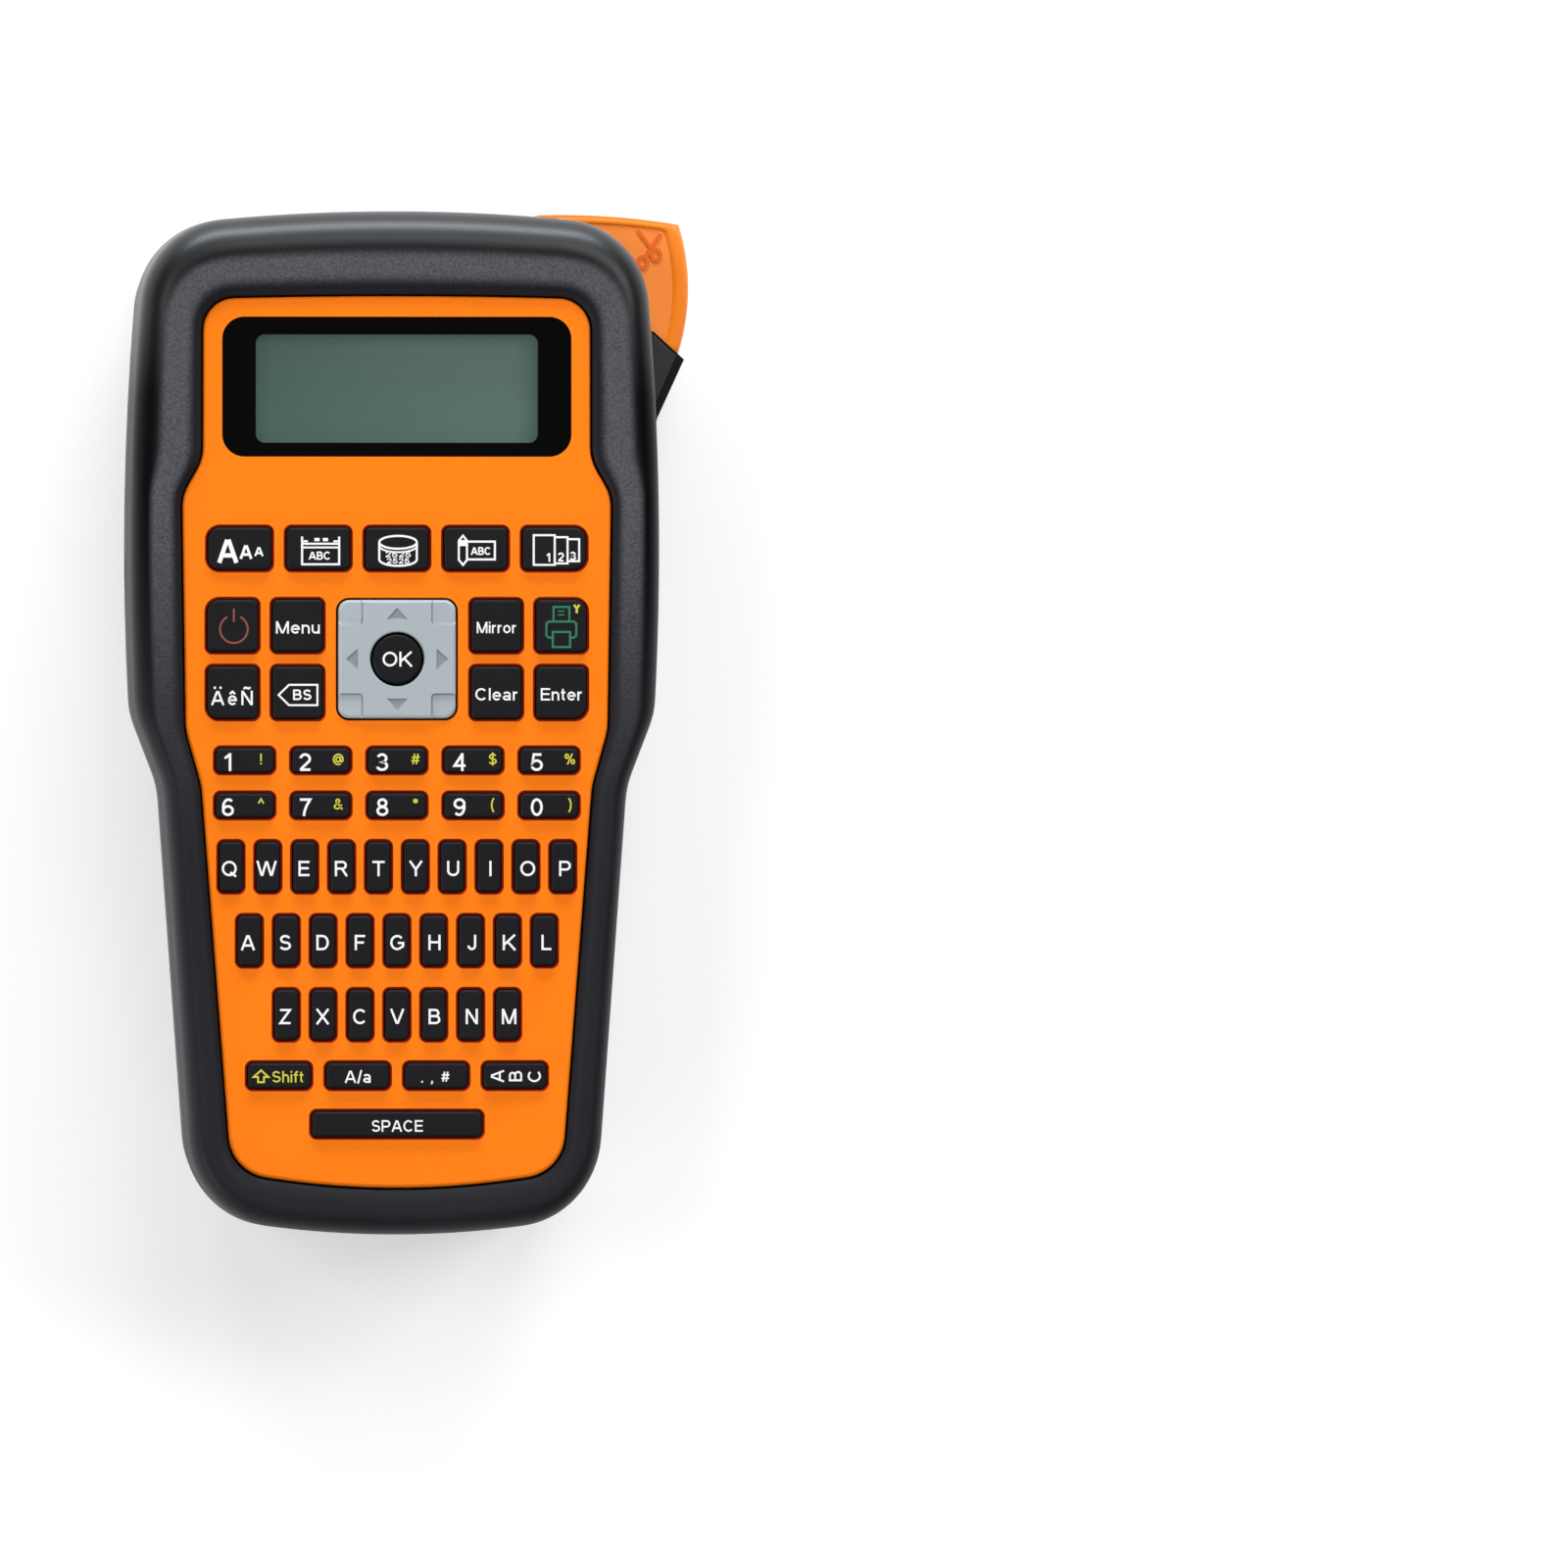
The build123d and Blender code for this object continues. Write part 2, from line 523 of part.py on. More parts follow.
with BuildPart() as bumper_frame:
    with BuildSketch(Plane.XY.offset(PARTING_Z)):
        add(case_face())
    extrude(amount=CASE_DEPTH - PARTING_Z)
    fillet(bumper_frame.faces().sort_by(Axis.Z)[-1].edges(), BUMPER_EDGE_R)
    with BuildSketch(Plane.XY.offset(PANEL_SEAT_Z)):
        add(panel_face(PANEL_GAP))
    extrude(amount=PANEL_T + PANEL_SINK, mode=Mode.SUBTRACT)
    fillet(bumper_frame.faces().sort_by(Axis.Z)[-1].inner_wires()[0].edges(), LIP_R)
    with BuildSketch(Plane.XY.offset(PANEL_SEAT_Z)):
        add(panel_face(-LEDGE_WIDTH))
    extrude(amount=-LEDGE_T, mode=Mode.SUBTRACT)
    with BuildSketch(Plane.XY.offset(PANEL_SEAT_Z)):
        for block in KEY_BLOCKS:
            with Locations(*block.sites):
                Rectangle(block.width + 2 * FLANGE_REACH + 0.6, block.height + 2 * FLANGE_REACH + 0.6)
    extrude(amount=-LEDGE_T, mode=Mode.SUBTRACT)
    add(bumper_cavity.part, mode=Mode.SUBTRACT)
    with BuildSketch(Plane.XY.offset(PARTING_Z)):
        with Locations(*SCREW_SITES):
            Circle(CASE_SCREW_R + FIT)
    extrude(amount=SCREW_GRIP + 1.0, mode=Mode.SUBTRACT)
save(bumper_frame, "bumper_frame")

# Front panel with every key hole, the window seat and the board posts.
with BuildPart() as front_panel:
    with BuildSketch(Plane.XY.offset(PANEL_SEAT_Z)):
        add(panel_face())
    extrude(amount=PANEL_T)
    fillet(front_panel.faces().sort_by(Axis.Z)[-1].edges(), PANEL_EDGE_R)
    with BuildSketch(Plane.XY.offset(PANEL_SEAT_Z)):
        for block in KEY_BLOCKS:
            with Locations(*block.sites):
                add(cornered(block.width, block.height, block.radii))
        with Locations((0, NAV_Y)):
            RectangleRounded(NAV_HOLE_WIDTH, NAV_HOLE_HEIGHT, NAV_CORNER_R)
        with Locations((0, WINDOW_Y)):
            RectangleRounded(WINDOW_WIDTH - 2 * WINDOW_FRAME, WINDOW_HEIGHT - 2 * WINDOW_FRAME,
                             WINDOW_CORNER_R - 2.0)
    extrude(amount=PANEL_T, mode=Mode.SUBTRACT)
    with BuildSketch(Plane.XY.offset(PANEL_TOP_Z)):
        with Locations((0, WINDOW_Y)):
            RectangleRounded(WINDOW_WIDTH, WINDOW_HEIGHT, WINDOW_CORNER_R)
    extrude(amount=-WINDOW_T, mode=Mode.SUBTRACT)
    with BuildSketch(Plane.XY.offset(PANEL_SEAT_Z)):
        with Locations(*POST_SITES):
            Circle(POST_R)
    extrude(amount=BOARD_TOP_Z - PANEL_SEAT_Z)
    with BuildSketch(Plane.XY.offset(BOARD_TOP_Z)):
        with Locations(*POST_SITES):
            Circle(BOARD_SCREW_R + FIT)
    extrude(amount=PANEL_UNDER - 1.0, mode=Mode.SUBTRACT)
save(front_panel, "front_panel")

with BuildPart() as display_window:
    with BuildSketch(Plane.XY.offset(PANEL_TOP_Z - WINDOW_T)):
        with Locations((0, WINDOW_Y)):
            RectangleRounded(WINDOW_WIDTH - 0.2, WINDOW_HEIGHT - 0.2, WINDOW_CORNER_R - 0.1)
    extrude(amount=WINDOW_T - 0.05)
save(display_window, "display_window")

# Sizes that the mat and the four-way pad share.
CARRIER_R = 10.5
CARRIER_T = 1.0
RIDGE_WIDTH = 1.2
RIDGE_LENGTH = 3.0
RIDGE_OFFSET = CARRIER_R - 2.0
CARRIER_PIVOT_Z = MAT_TOP_Z + KEY_REST
CARRIER_Z = CARRIER_PIVOT_Z + TILT_ROOM

LCD_WIDTH = WINDOW_WIDTH - 6.7
LCD_HEIGHT = WINDOW_HEIGHT - 3.0
HOLDER_SEAT_Z = BOARD_TOP_Z + 1.8
with BuildPart() as lcd_holder:
    with BuildSketch(Plane.XY.offset(BOARD_TOP_Z)):
        with Locations((0, WINDOW_Y)):
            Rectangle(LCD_WIDTH + 2.8, LCD_HEIGHT + 2.8)
            Rectangle(LCD_WIDTH - 10.0, LCD_HEIGHT - 8.0, mode=Mode.SUBTRACT)
    extrude(amount=PANEL_UNDER - FLANGE_GAP)
    with BuildSketch(Plane.XY.offset(HOLDER_SEAT_Z)):
        with Locations((0, WINDOW_Y)):
            Rectangle(LCD_WIDTH + 0.4, LCD_HEIGHT + 0.4)
    extrude(amount=PANEL_UNDER, mode=Mode.SUBTRACT)
save(lcd_holder, "lcd_holder")

with BuildPart() as lcd_panel:
    with BuildSketch(Plane.XY.offset(HOLDER_SEAT_Z)):
        with Locations((0, WINDOW_Y)):
            Rectangle(LCD_WIDTH, LCD_HEIGHT)
    extrude(amount=2.0)
save(lcd_panel, "lcd_panel")

with BuildPart() as main_board:
    with BuildSketch(Plane.XY.offset(BOARD_Z)):
        add(case_face(-BOARD_INSET))
        with Locations(*POST_SITES):
            Circle(BOARD_SCREW_R + 0.15, mode=Mode.SUBTRACT)
        with Locations(*SCREW_SITES):
            Circle(BOSS_R + BOSS_ROOM, mode=Mode.SUBTRACT)
    extrude(amount=BOARD_T)
save(main_board, "main_board")

with BuildPart() as keypad_mat:
    with BuildSketch(Plane.XY.offset(BOARD_TOP_Z)):
        add(case_face(-BOARD_INSET - 1.0))
    extrude(amount=MAT_T)
    with BuildSketch(Plane.XY.offset(BOARD_TOP_Z)):
        with Locations((0, FUNCTION_Y + FUNCTION_HEIGHT / 2 + 1.5 + CASE_LENGTH / 2)):
            Rectangle(2 * CASE_HALF, CASE_LENGTH)
        with Locations(*POST_SITES):
            Circle(POST_R + 0.4)
    extrude(amount=MAT_T, mode=Mode.SUBTRACT)
    for side in (-1, 1):
        with Locations(Location((0, NAV_Y + side * RIDGE_OFFSET, CARRIER_PIVOT_Z), (90, 0, 0))):
            Cylinder(RIDGE_WIDTH / 2 + FIT, RIDGE_LENGTH + 2 * KEY_REST, mode=Mode.SUBTRACT)
save(keypad_mat, "keypad_mat")

with BuildPart() as board_screws:
    with BuildSketch(Plane.XY.offset(BOARD_Z)):
        with Locations(*POST_SITES):
            Circle(BOARD_HEAD_R)
    extrude(amount=-BOARD_HEAD_T)
    with BuildSketch(Plane.XY.offset(BOARD_Z)):
        with Locations(*POST_SITES):
            Circle(BOARD_SCREW_R)
    extrude(amount=BOARD_T + PANEL_UNDER - 1.5)
save(board_screws, "board_screws")

for block in KEY_BLOCKS:
    with BuildPart() as key_group:
        with Locations(*[(x, y, 0) for x, y in block.sites]):
            add(key_solid(block.width, block.height, block.radii))
    save(key_group, block.node)

# Four-way pad: it rocks on the carrier about X, and the carrier rocks on the mat about Y.
PAD_WIDTH = NAV_HOLE_WIDTH - 2 * PAD_GAP
PAD_HEIGHT = NAV_HOLE_HEIGHT - 2 * PAD_GAP
OK_R = OK_DIAMETER / 2
PAD_PIVOT_Z = CARRIER_Z + CARRIER_T + TILT_ROOM
PAD_Z = PAD_PIVOT_Z + KEY_REST
with BuildPart() as nav_pad:
    with BuildSketch(Plane.XY.offset(PAD_Z)):
        with Locations((0, NAV_Y)):
            RectangleRounded(PAD_WIDTH, PAD_HEIGHT, NAV_CORNER_R - PAD_GAP)
    extrude(amount=KEY_TOP_Z - PAD_Z)
    fillet(nav_pad.faces().sort_by(Axis.Z)[-1].edges(), KEY_EDGE_R)
    with BuildSketch(Plane.XY.offset(PAD_Z)):
        with Locations((0, NAV_Y)):
            Circle(OK_R + PAD_GAP)
    extrude(amount=KEY_TOP_Z - PAD_Z, mode=Mode.SUBTRACT)
    for side in (-1, 1):
        with Locations(Location((side * RIDGE_OFFSET, NAV_Y, PAD_PIVOT_Z), (0, 90, 0))):
            Cylinder(RIDGE_WIDTH / 2 + FIT, RIDGE_LENGTH + 2 * KEY_REST, mode=Mode.SUBTRACT)
save(nav_pad, "nav_pad")

with BuildPart() as nav_carrier:
    with BuildSketch(Plane.XY.offset(CARRIER_Z)):
        with Locations((0, NAV_Y)):
            Circle(CARRIER_R)
            Circle(OK_R + 2 * PAD_GAP, mode=Mode.SUBTRACT)
    extrude(amount=CARRIER_T)
    with BuildSketch(Plane.XY.offset(CARRIER_Z + CARRIER_T)):
        for side in (-1, 1):
            with Locations((side * RIDGE_OFFSET, NAV_Y)):
                Rectangle(RIDGE_LENGTH, RIDGE_WIDTH)
    extrude(amount=TILT_ROOM)
    with BuildSketch(Plane.XY.offset(CARRIER_Z)):
        for side in (-1, 1):
            with Locations((0, NAV_Y + side * RIDGE_OFFSET)):
                Rectangle(RIDGE_WIDTH, RIDGE_LENGTH)
    extrude(amount=-TILT_ROOM)
    for side in (-1, 1):
        with Locations(Location((side * RIDGE_OFFSET, NAV_Y, PAD_PIVOT_Z), (0, 90, 0))):
            Cylinder(RIDGE_WIDTH / 2, RIDGE_LENGTH)
        with Locations(Location((0, NAV_Y + side * RIDGE_OFFSET, CARRIER_PIVOT_Z), (90, 0, 0))):
            Cylinder(RIDGE_WIDTH / 2, RIDGE_LENGTH)
save(nav_carrier, "nav_carrier")

with BuildPart() as ok_key:
    with BuildSketch(Plane.XY.offset(KEY_FOOT_Z)):
        with Locations((0, NAV_Y)):
            Circle(OK_R)
    extrude(amount=KEY_TOP_Z + 0.2 - KEY_FOOT_Z)
    fillet(ok_key.faces().sort_by(Axis.Z)[-1].edges(), KEY_EDGE_R)
save(ok_key, "ok_key")

# Rear shell: a rounded tub with screw columns, the battery opening and the cutter notch.
with BuildPart() as case_hollow:
    add(tub(CASE_STEP + CASE_WALL, CASE_FLOOR_Z, BACK_EDGE_R - CASE_WALL))
    with BuildSketch(Plane.XY):
        with Locations(*SCREW_SITES):
            Circle(COLUMN_R)
    extrude(amount=PARTING_Z, mode=Mode.SUBTRACT)

NOTCH_LEFT = PIVOT_X + 9.6
NOTCH_IN = CASE_HALF - 14.0
NOTCH_UNDER_Y = CASE_TOP - 16.0
GUIDE_IN = CASE_HALF - 9.0
NOTCH_LOW_Y = TAPE_Y - 11.2
GUIDE_LOW_Y = NOTCH_LOW_Y + 0.3
with BuildPart() as rear_case:
    add(tub(CASE_STEP, BACK_Z, BACK_EDGE_R))
    add(case_hollow.part, mode=Mode.SUBTRACT)
    with BuildSketch(Plane.XY):
        add(cover_face(COVER_GAP))
    extrude(amount=CASE_FLOOR_Z, mode=Mode.SUBTRACT)
    with BuildSketch(Plane.XY.offset(NOTCH_Z0)):
        with BuildLine():
            Polyline((NOTCH_LEFT, NOTCH_UNDER_Y), (NOTCH_LEFT, CASE_TOP + 5.0),
                     (CASE_HALF + 10.0, CASE_TOP + 5.0), (CASE_HALF + 10.0, NOTCH_LOW_Y),
                     (NOTCH_IN, NOTCH_LOW_Y), (NOTCH_IN, NOTCH_UNDER_Y), close=True)
        make_face()
    extrude(amount=NOTCH_Z1 - NOTCH_Z0, mode=Mode.SUBTRACT)
    with BuildSketch(Plane.XY):
        with Locations(*SCREW_SITES):
            Circle(CASE_HEAD_R + 0.4)
    extrude(amount=SCREW_SEAT_Z, mode=Mode.SUBTRACT)
    with BuildSketch(Plane.XY):
        with Locations(*SCREW_SITES):
            Circle(CASE_SCREW_R + 0.3)
    extrude(amount=PARTING_Z, mode=Mode.SUBTRACT)
    with BuildSketch(Plane.YZ.offset(-CASE_HALF - 5.0)):
        with Locations((JACK_Y, JACK_Z)):
            Circle(JACK_NOSE_R + 0.1)
    extrude(amount=14.0, mode=Mode.SUBTRACT)
save(rear_case, "rear_case")

with BuildPart() as case_screws:
    with BuildSketch(Plane.XY.offset(SCREW_SEAT_Z)):
        with Locations(*SCREW_SITES):
            Circle(CASE_HEAD_R)
    extrude(amount=-CASE_HEAD_T)
    with BuildSketch(Plane.XY.offset(SCREW_SEAT_Z)):
        with Locations(*SCREW_SITES):
            Circle(CASE_SCREW_R)
    extrude(amount=PARTING_Z + SCREW_GRIP - SCREW_SEAT_Z)
save(case_screws, "case_screws")

HOOK_X = 15.0
HOOK_WIDTH = 8.0
HOOK_REACH = 3.0

# Bay moulding: a flange on the case floor, the cassette bay and the battery bay.
with BuildPart() as inner_chassis:
    with BuildSketch(Plane.XY.offset(CASE_FLOOR_Z)):
        add(cover_face(FLANGE_LAP))
        add(case_face(-CASE_STEP - BACK_EDGE_R - 0.2), mode=Mode.INTERSECT)
    extrude(amount=BAY_WALL)
    with BuildSketch(Plane.XY.offset(CASE_FLOOR_Z)):
        with Locations((CASSETTE_X, CASSETTE_Y)):
            Rectangle(BAY_WIDTH + 2 * BAY_WALL, BAY_HEIGHT + 2 * BAY_WALL)
    extrude(amount=CHASSIS_TOP_Z - CASE_FLOOR_Z)
    with BuildSketch(Plane.XY.offset(CASE_FLOOR_Z)):
        with Locations((0, CELLS_Y)):
            Rectangle(CELL_BAY_WIDTH + 2 * BAY_WALL, CELLS_LENGTH + 2 * (BAY_GAP + BAY_WALL))
    extrude(amount=CELL_ROOF_Z + BAY_WALL - CASE_FLOOR_Z)
    with BuildSketch(Plane.XY.offset(CASE_FLOOR_Z)):
        with Locations((CASSETTE_X, CASSETTE_Y)):
            Rectangle(BAY_WIDTH, BAY_HEIGHT)
    extrude(amount=BAY_FLOOR_Z - CASE_FLOOR_Z, mode=Mode.SUBTRACT)
    with BuildSketch(Plane.XY.offset(CASE_FLOOR_Z)):
        with Locations((0, CELLS_Y)):
            Rectangle(CELL_BAY_WIDTH, CELLS_LENGTH + 2 * BAY_GAP)
    extrude(amount=CELL_ROOF_Z - CASE_FLOOR_Z, mode=Mode.SUBTRACT)
    for side in (-1, 1):
        with Locations((side * HOOK_X, COVER_END_Y + 4.6, CASE_FLOOR_Z)):
            Box(HOOK_WIDTH + 1.0, HOOK_REACH + 6.6, BAY_WALL, mode=Mode.SUBTRACT,
                align=(Align.CENTER, Align.MAX, Align.MIN))
    with Locations((CASSETTE_RIGHT + BAY_GAP + BAY_WALL / 2, TAPE_Y, TAPE_Z)):
        Box(BAY_WALL + 0.2, 9.0, TAPE_WIDTH + 2.0, mode=Mode.SUBTRACT)
    with BuildSketch(Plane.XY.offset(BAY_FLOOR_Z)):
        with Locations((TAKEUP_X, IDLER_Y)):
            Circle(SPINDLE_R + 0.3)
    extrude(amount=BAY_WALL, mode=Mode.SUBTRACT)
save(inner_chassis, "inner_chassis")

# Cover: latch tongue at the display end, two hooks inside the case at the other.
TONGUE_WIDTH = 14.0
TONGUE_LENGTH = 9.0
with BuildPart() as rear_cover:
    with BuildSketch(Plane.XY):
        add(cover_face())
    extrude(amount=COVER_T)
    fillet(rear_cover.faces().sort_by(Axis.Z)[0].edges(), 0.35)
    for side in (-1, 1):
        with Locations((side * HOOK_X, COVER_END_Y + 1.0, COVER_T)):
            Box(HOOK_WIDTH, 1.6, CASE_FLOOR_Z - COVER_T + 2.3,
                align=(Align.CENTER, Align.CENTER, Align.MIN))
        with Locations((side * HOOK_X, COVER_END_Y + 1.8, CASE_FLOOR_Z + 0.8)):
            Box(HOOK_WIDTH, HOOK_REACH + 1.8, 1.5, align=(Align.CENTER, Align.MAX, Align.MIN))
        with Locations((side * TONGUE_WIDTH / 2, COVER_TOP_Y - TONGUE_LENGTH / 2, 0)):
            Box(0.8, TONGUE_LENGTH, 3 * COVER_T, mode=Mode.SUBTRACT)
        with Locations((CASSETTE_X + side * 14.0, CASSETTE_Y, COVER_T)):
            Box(1.6, CASSETTE_HEIGHT - 8.0, CASSETTE_Z - COVER_T - BAY_GAP,
                align=(Align.CENTER, Align.CENTER, Align.MIN))
    for step in range(4):
        with Locations((0, COVER_TOP_Y - 2.0 - 1.6 * step, 0)):
            Box(TONGUE_WIDTH - 4.0, 0.7, 0.8, mode=Mode.SUBTRACT)
save(rear_cover, "rear_cover")

# Cells lie across the grip, every second one reversed.
cell_rows = [CELLS_TOP - CELL_PITCH * (index + 0.5) for index in range(CELL_COUNT)]
NUB_R = 1.9
NUB_LENGTH = 0.9
with BuildPart() as batteries:
    for index, y in enumerate(cell_rows):
        way = 1 if index % 2 == 0 else -1
        with Locations(Location((0, y, CELL_Z), (0, 90, 0))):
            Cylinder(CELL_R, CELL_LENGTH - 2 * NUB_LENGTH)
        with Locations(Location((way * (CELL_LENGTH - NUB_LENGTH) / 2, y, CELL_Z), (0, 90, 0))):
            Cylinder(NUB_R, NUB_LENGTH)
save(batteries, "batteries")

CONTACT_T = 0.4
with BuildPart() as battery_contacts:
    for index, y in enumerate(cell_rows):
        for side in (-1, 1):
            wall = side * CELL_BAY_WIDTH / 2
            nub = side == (1 if index % 2 == 0 else -1)
            reach = CELL_END_ROOM - 0.15 if nub else CELL_END_ROOM + NUB_LENGTH - 0.15
            tip = wall - side * reach
            back = wall - side * CONTACT_T
            with BuildSketch(Plane.XY.offset(CELL_Z - 2.5)):
                with BuildLine():
                    Polyline((wall, y + 4.2), (wall, y - 4.2), (back, y - 4.2),
                             (tip, y), (tip + side * CONTACT_T, y + 0.3), (back, y - 3.3),
                             (back, y + 4.2), close=True)
                make_face()
            extrude(amount=5.0)
save(battery_contacts, "battery_contacts")

# Metal plate that carries the drive, lying on the bay floor.
PLATE_LEFT = TAKEUP_X - PLATE_REACH_LEFT
PLATE_RIGHT = HEAD_X + PLATE_REACH_RIGHT
PLATE_LOW_Y = MOTOR_Y - MOTOR_R - 1.0
PLATE_TOP_Y = PIVOT_Y + 5.0
with BuildPart() as mech_plate:
    with BuildSketch(Plane.XY.offset(CHASSIS_TOP_Z)):
        with Locations(((PLATE_LEFT + PLATE_RIGHT) / 2, (PLATE_LOW_Y + PLATE_TOP_Y) / 2)):
            RectangleRounded(PLATE_RIGHT - PLATE_LEFT, PLATE_TOP_Y - PLATE_LOW_Y, 3.0)
        with Locations((HEAD_X, PLATEN_Y)):
            Circle(SHAFT_R + FIT, mode=Mode.SUBTRACT)
        with Locations((TAKEUP_X, IDLER_Y)):
            Circle(SPINDLE_R + FIT, mode=Mode.SUBTRACT)
        with Locations((HEAD_X, MOTOR_Y)):
            Circle(MOTOR_SHAFT_R + FIT, mode=Mode.SUBTRACT)
        with Locations((PIVOT_X, PIVOT_Y)):
            Circle(PIN_R + 0.02, mode=Mode.SUBTRACT)
    extrude(amount=PLATE_T)
    with BuildSketch(Plane.XY.offset(PLATE_TOP_Z)):
        with Locations((HEAD_X, IDLER_Y)):
            Circle(SHAFT_R)
    extrude(amount=GEAR_LIFT + GEAR_T + 0.5)
    with BuildSketch(Plane.XY.offset(PLATE_TOP_Z)):
        with Locations((HEAD_X, IDLER_Y)):
            Circle(SHAFT_R + 1.0)
    extrude(amount=GEAR_LIFT - 0.1)
save(mech_plate, "mech_plate")

with BuildPart() as idler_gear:
    with BuildSketch(Plane.XY.offset(GEAR_Z)):
        with Locations((HEAD_X, IDLER_Y)):
            add(gear_face(IDLER_TEETH, 0.0))
            Circle(SHAFT_R + FIT, mode=Mode.SUBTRACT)
    extrude(amount=GEAR_T)
save(idler_gear, "idler_gear")

with BuildPart() as platen_gear:
    with BuildSketch(Plane.XY.offset(GEAR_Z)):
        with Locations((HEAD_X, PLATEN_Y)):
            add(gear_face(PLATEN_TEETH, mesh_phase(PLATEN_TEETH, 270.0)))
            Circle(SHAFT_R + 0.01, mode=Mode.SUBTRACT)
    extrude(amount=GEAR_T)
save(platen_gear, "platen_gear")

HOLDER_EAR_Z = TAPE_Z - TAPE_WIDTH / 2 - 3.5
HOLDER_EAR_T = 1.2
with BuildPart() as platen_shaft:
    with BuildSketch(Plane.XY.offset(HOLDER_EAR_Z - 0.4)):
        with Locations((HEAD_X, PLATEN_Y)):
            Circle(SHAFT_R)
    extrude(amount=GEAR_Z + GEAR_T + 0.5 - HOLDER_EAR_Z + 0.4)
save(platen_shaft, "platen_shaft")

with BuildPart() as platen_roller:
    with BuildSketch(Plane.XY.offset(TAPE_Z - TAPE_WIDTH / 2 - 1.0)):
        with Locations((HEAD_X, PLATEN_Y)):
            Circle(PLATEN_R)
            Circle(SHAFT_R + 0.01, mode=Mode.SUBTRACT)
    extrude(amount=TAPE_WIDTH + 2.0)
save(platen_roller, "platen_roller")

# Roller holder: a wall hung from the plate with an ear under the platen shaft.
HOLDER_Y = PLATEN_Y + PLATEN_R + 0.9
with BuildPart() as roller_holder:
    with Locations((HEAD_X, HOLDER_Y + HOLDER_EAR_T / 2, HOLDER_EAR_Z)):
        Box(HEAD_WIDTH, HOLDER_EAR_T, CHASSIS_TOP_Z - HOLDER_EAR_Z,
            align=(Align.CENTER, Align.CENTER, Align.MIN))
    with BuildSketch(Plane.XY.offset(HOLDER_EAR_Z)):
        with Locations((HEAD_X, (HOLDER_Y + PLATEN_Y - 2.5) / 2)):
            Rectangle(HEAD_WIDTH, HOLDER_Y - PLATEN_Y + 2.5 + 0.2)
    extrude(amount=HOLDER_EAR_T)
    with BuildSketch(Plane.XY.offset(HOLDER_EAR_Z)):
        with Locations((HEAD_X, PLATEN_Y)):
            Circle(SHAFT_R + FIT)
    extrude(amount=HOLDER_EAR_T, mode=Mode.SUBTRACT)
save(roller_holder, "roller_holder")

HEAD_Y = TAPE_Y - TAPE_GAP / 2 - HEAD_T / 2
with BuildPart() as print_head:
    with Locations((HEAD_X, HEAD_Y, TAPE_Z)):
        Box(HEAD_WIDTH, HEAD_T, TAPE_WIDTH + 2.0)
save(print_head, "print_head")

with BuildPart() as heat_sink:
    with Locations((HEAD_X, HEAD_Y - HEAD_T / 2 - SINK_T / 2, HOLDER_EAR_Z)):
        Box(HEAD_WIDTH + 2.0, SINK_T, CHASSIS_TOP_Z - HOLDER_EAR_Z,
            align=(Align.CENTER, Align.CENTER, Align.MIN))
save(heat_sink, "heat_sink")

with BuildPart() as takeup_spindle:
    with BuildSketch(Plane.XY.offset(GEAR_Z)):
        with Locations((TAKEUP_X, IDLER_Y)):
            add(gear_face(TAKEUP_TEETH, mesh_phase(TAKEUP_TEETH, 0.0)))
    extrude(amount=GEAR_T)
    with BuildSketch(Plane.XY.offset(CASSETTE_Z + 2.0)):
        with Locations((TAKEUP_X, IDLER_Y)):
            Circle(SPINDLE_R)
    extrude(amount=GEAR_Z - CASSETTE_Z - 2.0)
    with Locations((TAKEUP_X, IDLER_Y, CASSETTE_Z + 2.0)):
        with PolarLocations(SPINDLE_R, 6):
            Box(1.2, 1.0, BAY_FLOOR_Z - CASSETTE_Z - 4.0,
                align=(Align.CENTER, Align.CENTER, Align.MIN), mode=Mode.SUBTRACT)
save(takeup_spindle, "takeup_spindle")

with BuildPart() as drive_motor:
    with BuildSketch(Plane.XY.offset(CHASSIS_TOP_Z - MOTOR_LENGTH)):
        with Locations((HEAD_X, MOTOR_Y)):
            Circle(MOTOR_R)
    extrude(amount=MOTOR_LENGTH)
    fillet(drive_motor.faces().sort_by(Axis.Z)[0].edges(), 0.8)
    with BuildSketch(Plane.XY.offset(CHASSIS_TOP_Z)):
        with Locations((HEAD_X, MOTOR_Y)):
            Circle(MOTOR_SHAFT_R + FIT)
    extrude(amount=-4.0, mode=Mode.SUBTRACT)
save(drive_motor, "drive_motor")

with BuildPart() as motor_pinion:
    with BuildSketch(Plane.XY.offset(GEAR_Z)):
        with Locations((HEAD_X, MOTOR_Y)):
            add(gear_face(PINION_TEETH, mesh_phase(PINION_TEETH, 90.0)))
    extrude(amount=GEAR_T)
    with BuildSketch(Plane.XY.offset(CHASSIS_TOP_Z - 3.8)):
        with Locations((HEAD_X, MOTOR_Y)):
            Circle(MOTOR_SHAFT_R)
    extrude(amount=GEAR_Z - CHASSIS_TOP_Z + 3.8)
save(motor_pinion, "motor_pinion")

